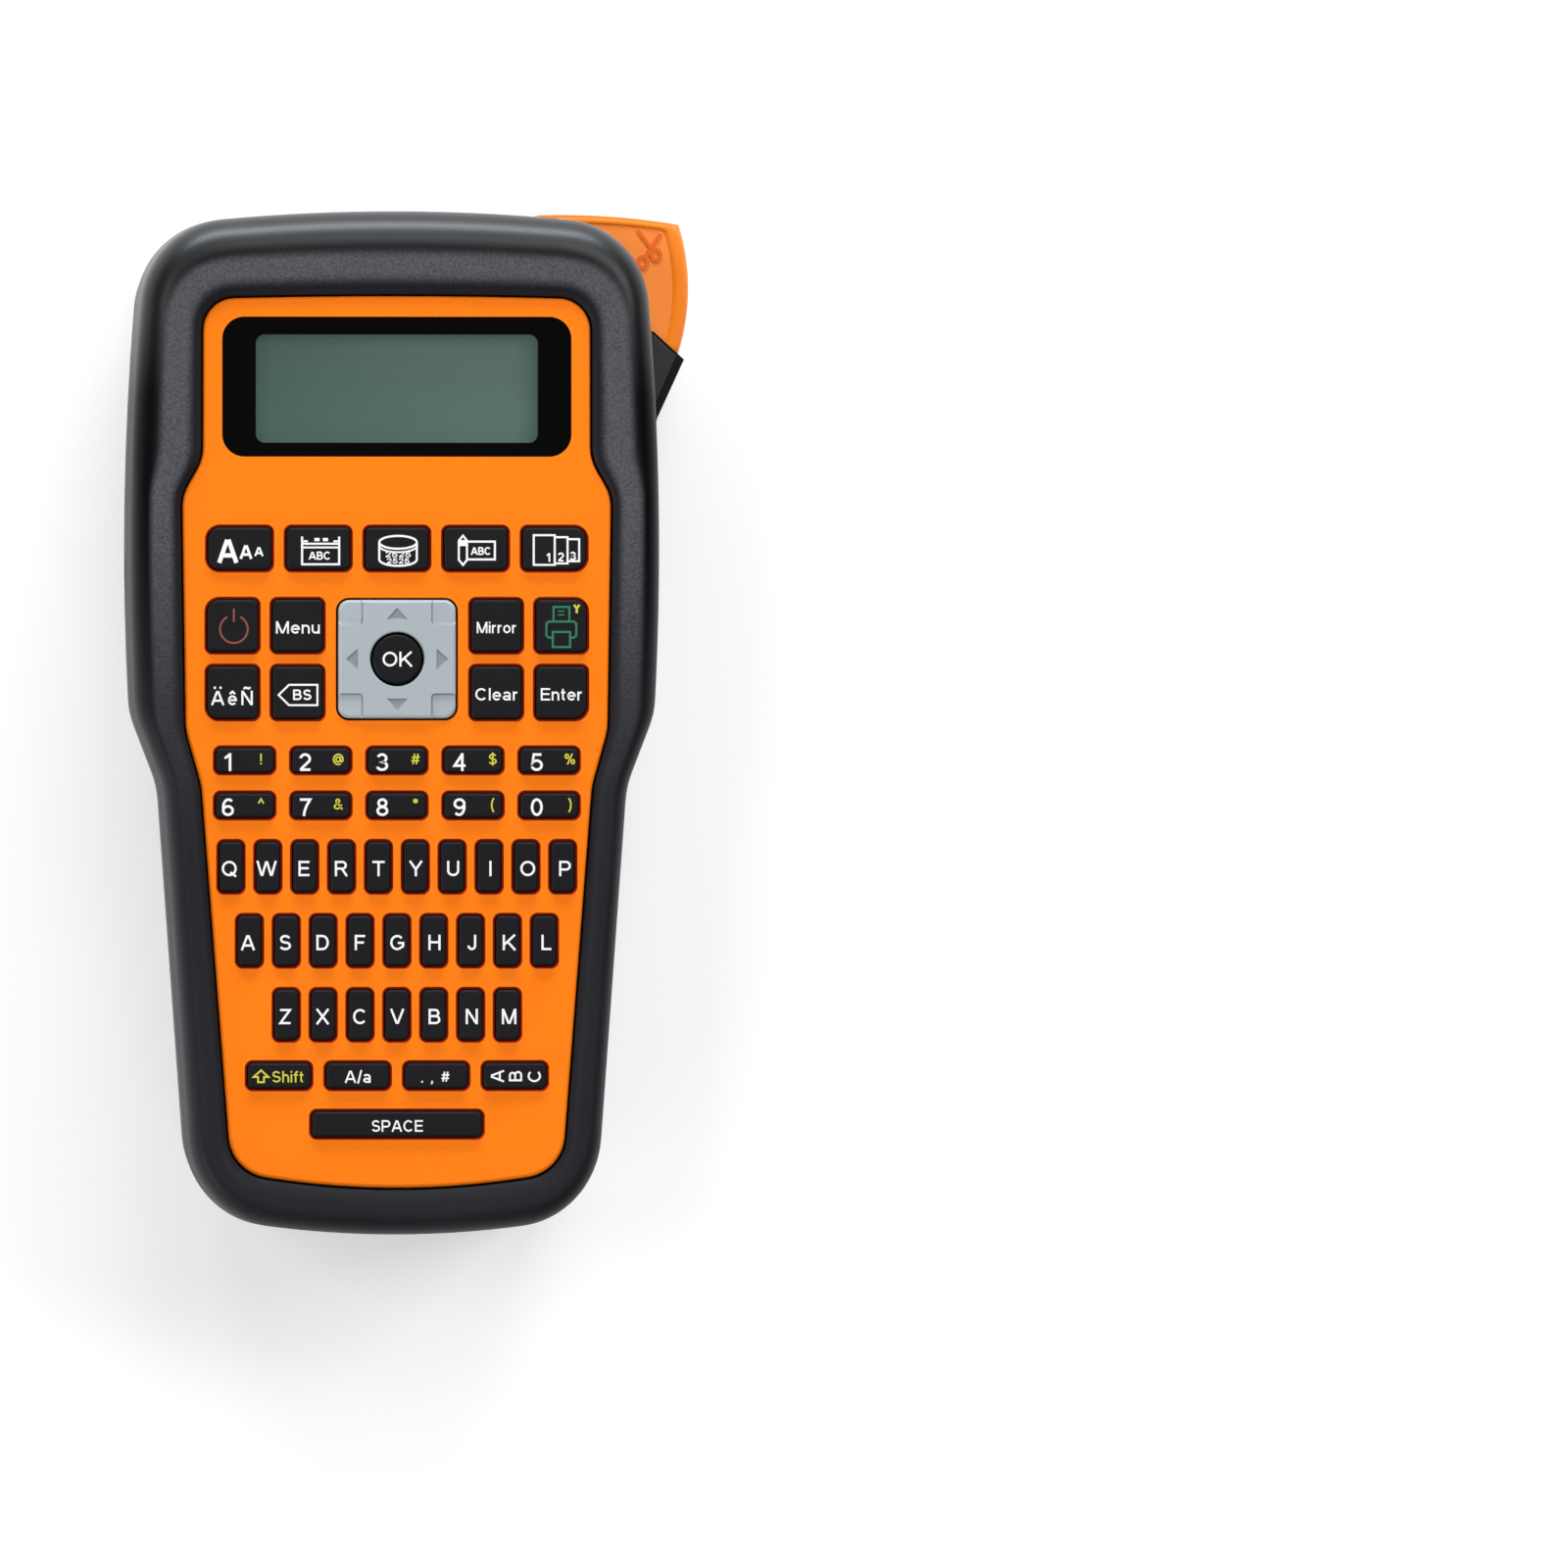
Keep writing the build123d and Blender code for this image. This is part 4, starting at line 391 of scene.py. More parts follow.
def bumperFinish():
    # trait top marks the grained crown, whose grey is painted sheen over the grain; lip marks the edge
    # beside the panel and grip the lower half, both given a lighter grey that paints their sheen; polish the
    # smooth shoulder round the far end
    # crown grey and the lighter grey of lip and lower half are painted sheen; flank is the rubber's
    # near-black
    look = Settings({"crown": rgb(78, 78, 83), "flank": rgb(6, 6, 8), "satin": rgb(37, 37, 41),
                     "grain": 2300.0, "depth": 7e-5, "drift": 24.0, "speck": (0.3, 0.7), "wear": 0.4,
                     "shades": (0.72, 1.3), "rough": 0.4, "gripRough": 0.05, "crownRough": 0.24,
                     "lipRough": 0.15, "driftRough": 0.08, "coat": 0.7, "coatDrift": 0.2,
                     "plainGrain": 0.12})
    finish = Finish("bumperRubber", Specular_IOR_Level=0.05, Coat_Roughness=0.42, Coat_IOR=1.55)
    crown, lip, grip, polish = (finish.trait(name) for name in ("top", "lip", "grip", "polish"))
    fine = finish.noise(look.grain, rough=0.65)
    drift = finish.cloud(look.drift)
    speck = finish.vary(fine.ramp(*look.speck), look.crown, *look.shades)
    plain = finish.tint((grip + lip).low(1.0), look.flank, look.satin)
    wearAndSheen = finish.tint(1 - look.wear + drift * look.wear, look.flank, plain)
    rough = (look.rough + grip * look.gripRough + crown * look.crownRough + lip * look.lipRough
             + (drift - 0.5) * look.driftRough)
    height = fine * (look.plainGrain + crown * (1 - look.plainGrain))
    return finish.dress(finish.tint(crown, wearAndSheen, speck), rough, height, look.depth,
                        Coat_Weight=polish * (look.coat + drift * look.coatDrift))


def windowFinish():
    # a black printed border round a lightly tinted opening, both under one gloss
    look = Settings({"halfWide": 0.0285, "halfHigh": 0.0109, "centreY": 0.0675, "corner": 0.0018,
                     "soft": 0.0001, "tint": rgb(88, 112, 104), "dust": 900.0, "cover": 0.3, "rough": 0.1,
                     "dusty": (0.0018, 0.0016, 0.0018, 1.0), "dustRough": 0.05})
    finish = Finish("windowPane", Specular_IOR_Level=0.28)
    x, y = finish.axes()[:2]
    across = (abs(x) - (look.halfWide - look.corner)).top(0.0)
    along = (abs(y - look.centreY) - (look.halfHigh - look.corner)).top(0.0)
    border = ((across * across + along * along) ** 0.5 - look.corner).ramp(-look.soft, look.soft)
    dust = finish.cloud(look.dust)
    colours = finish.tint(border, look.tint, finish.tint(dust, printBlack, look.dusty))
    return finish.dress(colours, look.rough + dust * look.dustRough,
                        Alpha=look.cover + border * (1 - look.cover))


def displayFinish():
    # grey-green glass with the faint rows and columns of its dots
    look = Settings({"shadow": rgb(78, 107, 98), "light": rgb(124, 150, 141), "pitch": 0.00042,
                     "slopeX": 14.0, "slopeY": 4.0, "middle": 0.22, "cloud": 60.0, "cloudShare": 0.3,
                     "dots": (0.5, 0.9), "dotShare": 0.16, "dotShade": 0.8, "grain": 3800.0,
                     "grainShare": 0.3, "rough": 0.35, "grainRough": 0.15})
    finish = Finish("displayGlass", Specular_IOR_Level=0.3)
    x, y = finish.axes()[:2]
    cloud = finish.cloud(look.cloud) * look.cloudShare
    # painted shade: the glass darker on its left, lighter on its right, a little darker towards the near end
    slope = (x * look.slopeX + y * look.slopeY + look.middle + cloud).ramp(0.0, 1.0)
    base = finish.tint(slope, look.shadow, look.light)
    turns = 2 * math.pi / look.pitch
    dots = ((x * turns).wave() * (y * turns).wave()).ramp(*look.dots)
    grain = finish.noise(look.grain)
    share = dots * look.dotShare + (grain - 0.5) * look.grainShare
    colours = finish.tint(share, base, shade(look.shadow, look.dotShade))
    return finish.dress(colours, look.rough + grain * look.grainRough)


def padFinish():
    # trait mark darkens the arrows' faces, and paints shade as thin dark lines along the steps at the
    # corners and round the arrows
    look = Settings({"grey": rgb(163, 171, 175), "mark": rgb(100, 106, 109), "grain": 4200.0,
                     "depth": 1.2e-5, "drift": 40.0, "shades": (0.93, 1.05), "rough": 0.42,
                     "grainRough": 0.15})
    finish = Finish("padGrey", Specular_IOR_Level=0.4)
    fine = finish.noise(look.grain)
    drift = finish.cloud(look.drift)
    body = finish.vary(drift, look.grey, *look.shades)
    colours = finish.tint(finish.trait("mark"), body, look.mark)
    return finish.dress(colours, look.rough + (fine - 0.5) * look.grainRough, fine, look.depth)


def boardFinish():
    # solder mask over straight copper runs
    look = Settings({"pads": 210.0, "padEdge": (0.2, 0.6), "runs": 2100.0, "runEdge": (0.55, 0.7),
                     "bend": 40.0, "bendShare": 9.0, "grain": 900.0, "depth": 3e-5, "rough": 0.35,
                     "grainRough": 0.2, "mask": (rgb(22, 74, 46), rgb(34, 92, 58)), "run": rgb(58, 128, 82)})
    finish = Finish("boardGreen")
    bend = finish.noise(look.bend) * look.bendShare
    runs = (finish.axes()[0] * look.runs + bend).wave().ramp(*look.runEdge)
    grain = finish.noise(look.grain)
    base = finish.tint(grain, *look.mask)
    lane = finish.node("ShaderNodeTexVoronoi", None, {"Vector": finish.place(), "Scale": look.pads})
    colours = finish.tint(runs * lane.ramp(*look.padEdge), base, look.run)
    return finish.dress(colours, look.rough + grain * look.grainRough, runs, look.depth)


def cellFinish():
    # shrink sleeve: a copper end, a dark body, bare steel at both tips
    look = Settings({"band": (0.0075, 0.0077), "tip": (0.0212, 0.0213), "scuff": 500.0,
                     "scuffEdge": 0.0001, "metal": 0.25, "tipMetal": 0.7, "rough": 0.3, "scuffRough": 0.2,
                     "body": rgb(34, 34, 38), "end": rgb(196, 126, 66), "steel": rgb(190, 190, 188)})
    finish = Finish("cellSleeve")
    x = finish.axes()[0]
    scuff = finish.cloud(look.scuff)
    band = (x + (scuff - 0.5) * look.scuffEdge).ramp(*look.band)
    tip = abs(x).ramp(*look.tip)
    sleeve = finish.tint(band, look.body, look.end)
    colours = finish.tint(tip, sleeve, look.steel)
    return finish.dress(colours, look.rough + scuff * look.scuffRough,
                        Metallic=look.metal + tip * look.tipMetal)


def tapeFinish():
    # edges of the wound layers, as rings round the roll's own centre
    look = Settings({"turns": 26000.0, "core": (0.0061, 0.0063), "depth": 3e-5, "rough": 0.5,
                     "layers": (rgb(206, 206, 200), rgb(246, 246, 242)), "hub": rgb(150, 152, 156)})
    low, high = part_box("tape_roll")
    finish = Finish("tapeLayers")
    x, y = finish.axes()[:2]
    dx, dy = x - (low.x + high.x) / 2, y - (low.y + high.y) / 2
    radius = (dx * dx + dy * dy) ** 0.5
    ring = (radius * look.turns).wave()
    layers = finish.tint(ring, *look.layers)
    colours = finish.tint(radius.ramp(*look.core), look.hub, layers)
    return finish.dress(colours, look.rough, ring, look.depth)


def motorFinish():
    # a drawn steel can with faint lengthways polish
    look = Settings({"dark": (0.45, 0.45, 0.46, 1), "light": (0.66, 0.66, 0.66, 1), "lines": 900.0,
                     "cloud": 160.0, "rough": 0.28, "polishRough": 0.2})
    finish = Finish("motorCan", Metallic=1.0)
    polish = (finish.axes()[2] * look.lines).wave() * finish.cloud(look.cloud)
    colours = finish.tint(polish, look.dark, look.light)
    return finish.dress(colours, look.rough + polish * look.polishRough)


special = {"display_window": windowFinish, "lcd_panel": displayFinish, "main_board": boardFinish,
           "batteries": cellFinish, "tape_roll": tapeFinish, "drive_motor": motorFinish}
for name, make in special.items():
    paint(make(), name)
print("finishes on", sum(1 for node in nodes.values() if node.material_slots), "nodes")


# outlines of the case and of the panel: corners, the middles of the curved ends, radii of the corners
caseOutline = Settings({
    "far": 103.47, "near": -103.47, "side": (53.55, 36.0), "radii": (19.0, 18.0, 20.0, 20.0),
    "corners": [(50.0, 100.1), (52.6, 1.9), (46.95, -12.8), (40.7, -99.2)],
    "extra": [(53.4, 55.0), (53.5, 47.0)],
})
panelOutline = Settings({
    "far": 86.2, "near": -94.0, "side": None, "radii": (6.5, 9.0, 9.0, 12.0, 14.0, 9.0), "extra": [],
    "corners": [(39.2, 85.6), (39.2, 53.2), (43.4, 45.9), (42.7, -1.5), (39.5, -12.8), (33.5, -90.6)],
})


def closedLine(spec, counts=(56, 52, 14, 52, 22, 80, 56), arcPoints=401, sidePoints=200, runPoints=60):
    # right half: an arc over the far end, runs between the corners, an arc over the near end, each corner
    # rounded; the left half mirrors it back
    corners, half = spec.corners, arcPoints // 2
    (farX, farY), (nearX, nearY) = corners[0], corners[-1]
    far = arcThrough((-farX, farY), (0, spec.far), (farX, farY), arcPoints)[half:]
    near = arcThrough((nearX, nearY), (0, spec.near), (-nearX, nearY), arcPoints)[:half + 1]
    runs = [np.linspace(a, b, runPoints) for a, b in zip(corners, corners[1:])]
    if spec.side:
        runs[0] = arcThrough(corners[0], spec.side, corners[1], sidePoints)
    marks = corners[:1] + spec.extra + corners[1:]
    side = stations(roundJoints([far, *runs, near], spec.radii), marks, counts)
    return np.concatenate([side, side[-2:0:-1] * [-1.0, 1.0]])


caseLine, panelLine = closedLine(caseOutline), closedLine(panelOutline)
# bumper: one cross-section carried round the case and closed underneath
bumper = Settings({
    "parting": 32.0, "crest": 59.0, "roundHigh": 9.0, "crestShare": 0.52, "bands": (7.0, 14.0, 17.0),
    "inner": (2.2, 4.3, 5.2), "outer": 2.4, "lipDrop": 2.2, "gap": 0.4, "bed": 55.2, "ledge": 0.8,
    "under": 53.7, "wall": 3.0, "flankSteps": 9, "roundSteps": 26, "roundBunch": 2.2, "lipSteps": (13, 16),
    "lipKnee": 0.75, "lipBunch": 2.5,
    # where each trait starts and is full, in shares of the band or in millimetres along the case
    "crown": (0.31, 0.47), "crownEnd": (0.93, 0.73), "crownShift": 0.11, "crownLeast": 0.06,
    "farEnd": (82.0, 94.0), "fade": (-25.0, 50.0), "lip": (0.85, 0.95), "polish": (0.5, 0.3),
    "polishEnd": (66.0, 98.0),
})


def bumperSurface(spec):
    # columns run from the parting line up the flank, over the outer quarter of a superellipse to the
    # crest, over an inner quarter whose power grows with the band, and back under the panel to the flank
    tangent = unit(np.roll(panelLine, -1, 0) - np.roll(panelLine, 1, 0))
    lipLine = panelLine + spec.gap * leftward(tangent)
    across = lipLine - caseLine
    band = np.linalg.norm(across, axis=1)[:, None]
    inward = unit(across)
    crest = spec.crestShare * band
    one = np.ones_like(band)
    t = np.linspace(0, 1, spec.flankSteps)[None, :-1]
    flankD = 0 * one * t
    flankZ = spec.parting + (spec.crest - spec.roundHigh - spec.parting) * t * one
    t = np.linspace(0, 1, spec.roundSteps)[None, :-1] ** spec.roundBunch
    power = spec.outer
    roundD = crest * t
    roundZ = spec.crest - spec.roundHigh * (1 - (1 - (1 - t) ** power) ** (1 / power)) * one
    knee, (before, after) = spec.lipKnee, spec.lipSteps
    bunched = 1 - (1 - knee) * (1 - np.linspace(0, 1, after)) ** spec.lipBunch
    t = np.concatenate([np.linspace(0, knee, before)[:-1], bunched])[None]
    power = np.interp(band, spec.bands, spec.inner)
    lipD = crest + (band - crest) * t
    lipZ = spec.crest - spec.lipDrop * (1 - (1 - t ** power) ** (1 / power))
    ledge, wall = band + spec.ledge, spec.wall * one
    hiddenD = np.concatenate([band, ledge, ledge, wall, wall], 1)
    hiddenZ = np.array([[spec.bed, spec.bed, spec.under, spec.under, spec.parting]]) * one
    depth = np.concatenate([flankD, roundD, lipD, hiddenD], 1)
    height = np.concatenate([flankZ, roundZ, lipZ, hiddenZ], 1)
    spots = caseLine[:, None, :] + inward[:, None, :] * depth[..., None]
    share, along = depth / band, spots[..., 1]
    # the traits place the painted sheen: crown grey set further in at the far end, fading to the near end
    shift = spec.crownShift * rise(along, *spec.farEnd)
    crown = ease(rise(share - shift, *spec.crown) * rise(share, *spec.crownEnd))
    fade = ease(rise(along, *spec.fade))
    traits = {"top": crown * (spec.crownLeast + (1 - spec.crownLeast) * fade), "grip": 1 - fade,
              "lip": rise(share, *spec.lip),
              "polish": rise(share, *spec.polish) * rise(along, *spec.polishEnd)}
    return lifted(spots, height), traits


bumperPoints, bumperTraits = bumperSurface(bumper)
bumperPiece = gridPiece("bumperShell", bumperPoints, True, bumperFinish(), "case", "bumper", bumperTraits)
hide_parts("bumper_frame")
print("bumper", bumperPoints.shape)


pad = Settings({
    "wide": 23.8, "high": 23.9, "corner": 2.25, "centreY": 12.85, "hole": 5.45, "top": 58.6, "foot": 54.0,
    "edge": 0.7, "edgeSteps": 7, "holeEdge": 0.25, "blur": 0.09, "around": 640, "across": 96,
    "square": 4.85, "squareRound": 0.65, "squareSink": 0.36, "squareLine": 0.16,
    "tip": 10.2, "base": 8.1, "half": 1.85, "arrowSink": 0.18, "arrowLine": 0.2,
    "squareMark": 0.9, "squareMarkWide": 1.3, "arrowMark": 0.55,
})


def padSurface(spec):
    # rings from the middle hole out to a rounded square; the top sinks by smooth steps at the four
    # corner squares and inside the four arrow triangles
    angle = np.linspace(0, 2 * math.pi, spec.around, endpoint=False)
    halfWide, halfHigh = spec.wide / 2, spec.high / 2
    inX, inY = halfWide - spec.corner, halfHigh - spec.corner
    ray = circle(angle)
    flatX, flatY = np.array([halfWide, halfHigh])[:, None] / np.maximum(np.abs(ray.T), 1e-9)
    toSide = np.minimum(flatX, flatY)
    cx, cy = np.sign(ray[:, 0]) * inX, np.sign(ray[:, 1]) * inY
    along = ray[:, 0] * cx + ray[:, 1] * cy
    gap = cx ** 2 + cy ** 2 - along ** 2
    toRound = along + np.sqrt(np.maximum(spec.corner ** 2 - gap, 0))
    side = np.abs(toSide[:, None] * ray)
    inCorner = (side[:, 0] > inX) & (side[:, 1] > inY)
    reach = np.where(inCorner, toRound, toSide)[:, None]
    start = spec.hole + spec.holeEdge
    radius = start + (reach - spec.edge - start) * np.linspace(0, 1, spec.across)[None]
    x, y = np.abs(radius * ray[:, :1]), np.abs(radius * ray[:, 1:])
    gapX = halfWide - spec.square - x + spec.squareRound
    gapY = halfHigh - spec.square - y + spec.squareRound
    squareGap = np.hypot(np.maximum(gapX, 0), np.maximum(gapY, 0)) + np.minimum(np.maximum(gapX, gapY), 0)
    squareGap = squareGap - spec.squareRound
    ahead, aside = np.maximum(x, y), np.minimum(x, y)
    slope = (spec.tip - spec.base) / spec.half
    arrowGap = np.maximum(spec.base - ahead, (ahead - spec.tip + aside * slope) / math.hypot(1, slope))
    square, arrow = (rise(edge, spec.blur, -spec.blur) for edge in (squareGap, arrowGap))
    lift = spec.top - spec.squareSink * square - spec.arrowSink * arrow
    # painted shade: dark lines along the corner steps and round the arrows; the arrow faces darker too
    rim = np.clip(spec.squareMarkWide - np.abs(squareGap) / spec.squareLine, 0, 1) * spec.squareMark
    outline = rise(np.abs(arrowGap), spec.arrowLine, 0)
    mark = np.maximum(np.maximum(rim, outline), arrow * spec.arrowMark)
    bend = np.linspace(0, math.pi / 2, spec.edgeSteps)[None, 1:]
    edgeR = reach - spec.edge * (1 - np.sin(bend))
    edgeZ = lift[:, -1:] - spec.edge * (1 - np.cos(bend))
    one = np.ones_like(reach)
    wallR = np.concatenate([reach, spec.hole * one, spec.hole * one], 1)
    wallZ = np.array([[spec.foot, spec.foot, spec.top - spec.holeEdge]]) * one
    allR = np.concatenate([radius, edgeR, wallR], 1)
    allZ = np.concatenate([lift, edgeZ, wallZ], 1)
    mark = np.pad(mark, ((0, 0), (0, allR.shape[1] - mark.shape[1])))
    spots = allR[..., None] * ray[:, None, :] + np.array([0.0, spec.centreY])
    return lifted(spots, allZ), mark


padPoints, padMarkAndShade = padSurface(pad)
padPiece = gridPiece("fourWayPad", padPoints, True, padFinish(), "nav_pad", "nav", {"mark": padMarkAndShade})
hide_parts("nav_pad")
print("pad", padPoints.shape)


def rowX(count, pitch):
    return pitch * (np.arange(count) - (count - 1) / 2)


# where the keys are, and where their legends stand on them
keys = Settings({
    "functionX": rowX(5, 15.92), "functionY": 35.2, "squareX": (33.25, 20.1), "squareY": (19.6, 6.1),
    "digitX": rowX(5, 15.63), "digitY": (-7.6, -16.7), "letterPitch": 7.55, "letterY": (-29.1, -44.05, -59.0),
    "modifierX": rowX(4, 15.9), "modifierY": -71.3, "spaceY": -81.1, "drop": -0.35,
    "letterCap": 3.1, "_legend": (3.6, -3.0, -0.35), "_marks": (2.2, 3.7, 0.28),
})
outerX, innerX = keys.squareX
upperY, lowerY = keys.squareY
squareRow = np.array([-outerX, -innerX, innerX, outerX])
# key wells: a dark maroon bevelled ring in the gap round each key, painted shade with painted orange
# bounce light where the gap lies in shadow; a block is its places across, its height along the case, a
# well's width and height, and which corners of which wells are soft
wells = Settings({
    "top": 57.5, "slope": 0.4, "foot": 56.2, "wide": 0.42, "seat": 0.01, "small": 1.6, "soft": 3.0,
    "corner": 9,
    "blocks": (
        (keys.functionX, keys.functionY, 14.0, 9.7, {0: (0, 3), 4: (1, 2)}),
        *((rowX(5, 15.4), y, 12.9, 6.1, {}) for y in keys.digitY),
        *((rowX(count, 7.46), y, 5.96, 11.3, {}) for count, y in zip((10, 9, 7), keys.letterY)),
        (keys.modifierX, keys.modifierY, 13.9, 6.3, {}), (rowX(1, 0.0), keys.spaceY, 35.6, 6.3, {}),
        (squareRow, upperY, 11.4, 11.7, {0: (0,), 3: (1,)}),
        (squareRow, lowerY, 11.4, 11.7, {0: (3,), 3: (2,)}),
    ),
})


def wellShadeRing(spec, x, y, wide, high, soft):
    # four quarter circles joined into a rounded outline, drawn in by each step of the ring's section
    inset = np.array([spec.seat, spec.wide, spec.wide, spec.seat])[:, None, None]
    height = np.array([spec.top, spec.top - spec.slope, spec.foot, spec.foot])
    radii = np.array([spec.soft if corner in soft else spec.small for corner in range(4)])
    radii = radii[None, :, None]
    signs = np.array([(-1, 1), (1, 1), (1, -1), (-1, -1)], float)
    sweep = np.linspace(0, math.pi / 2, spec.corner)
    turn = np.radians(np.array([180.0, 90.0, 0.0, -90.0]))[:, None] - sweep
    spot = []
    for axis, half, wave in ((0, wide / 2, np.cos(turn)), (1, high / 2, np.sin(turn))):
        centre = signs[None, :, axis, None] * (half - radii)
        spot.append((centre + (radii - inset) * wave[None]).reshape(4, -1))
    lift = np.broadcast_to(height[:, None], spot[0].shape)
    points = np.stack([spot[0] + x, spot[1] + y, lift], -1).transpose(1, 0, 2).reshape(-1, 3)
    return points, outward(points, gridFaces(len(points) // 4, 4, True, True))


# one ring of painted shade in the gap round every key
rings = [wellShadeRing(wells, x, y, wide, high, soft.get(place, ()))
         for xs, y, wide, high, soft in wells.blocks for place, x in enumerate(xs)]
meshPiece("keyWellShadeRings", *joined(rings), finishes["keyWellShadeMaroon"], "case", "panel", None, False)
print("key wells", len(rings))


# printed legends: drawn strokes as thin solids on the key tops
legend = Settings({"proud": 0.02, "sunk": 0.06, "mitre": 0.35, "step": 0.002, "weight": 0.142,
                   "spacing": 120, "cap": 1000, "bowStep": 12, "least": 4})
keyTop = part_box("power_key")[1].z / mm
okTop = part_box("ok_key")[1].z / mm


def stroke(line, at, wide, closed=False, layer=0, top=keyTop):
    # a flat section carried along x, y pairs, mitred at its corners; a layer lifts it by a hair
    line = np.array(line, float).reshape(-1, 2) + np.array(at)
    if closed:
        back, ahead = unit(line - np.roll(line, 1, 0)), unit(np.roll(line, -1, 0) - line)
    else:
        step = unit(np.diff(line, axis=0))
        back, ahead = np.vstack([step[:1], step]), np.vstack([step, step[-1:]])
    bisect = unit(back + ahead)
    normal = leftward(bisect)
    stretch = 1 / np.maximum(np.einsum("ij,ij->i", bisect, back), legend.mitre)[:, None]
    left, right = line + normal * wide / 2 * stretch, line - normal * wide / 2 * stretch
    lift = top + legend.step * layer + np.array([-legend.sunk, legend.proud])
    low, high = (np.full((len(line), 1), height) for height in lift)
    section = [(left, low), (left, high), (right, high), (right, low)]
    points = np.stack([np.hstack(corner) for corner in section], 1).reshape(-1, 3)
    return points, outward(points, tubeFaces(len(line), closed))


def oval(rx, ry, start=0, stop=360, count=40):
    # points of an ellipse by equal angles
    angle = np.radians(np.linspace(start, stop, count, endpoint=abs(stop - start) < 360))
    return circle(angle) * [rx, ry]


def bow(x, y, rx, ry, start=0, stop=360):
    # part of an ellipse round x, y, a point every few degrees, both ends kept
    angle = np.radians(np.linspace(start, stop, 2 + int(abs(stop - start) / legend.bowStep)))
    return circle(angle) * [rx, ry] + [x, y]


def path(*parts):
    # points and bows in one line, without repeated points
    line = np.vstack([np.atleast_2d(part) for part in parts])
    keep = np.append(True, np.linalg.norm(np.diff(line, axis=0), axis=1) > legend.least)
    return line[keep]


stem = (75, 0, 75, 1000)
short = (75, 0, 75, 725)
arch = path((75, 400), bow(300, 420, 225, 230, 180, 0), (525, 0))
bigS = path(bow(390, 715, 270, 210, 20, 270), bow(390, 290, 305, 215, 90, -160))
smallE = path((75, 370), (595, 370), bow(335, 360, 260, 290, 2, 318))
bigA = ((60, 0, 430, 970), (860, 0, 490, 970), (200, 310, 720, 310))
bigN = (stem, (725, 0, 725, 1000), (95, 970, 705, 30))
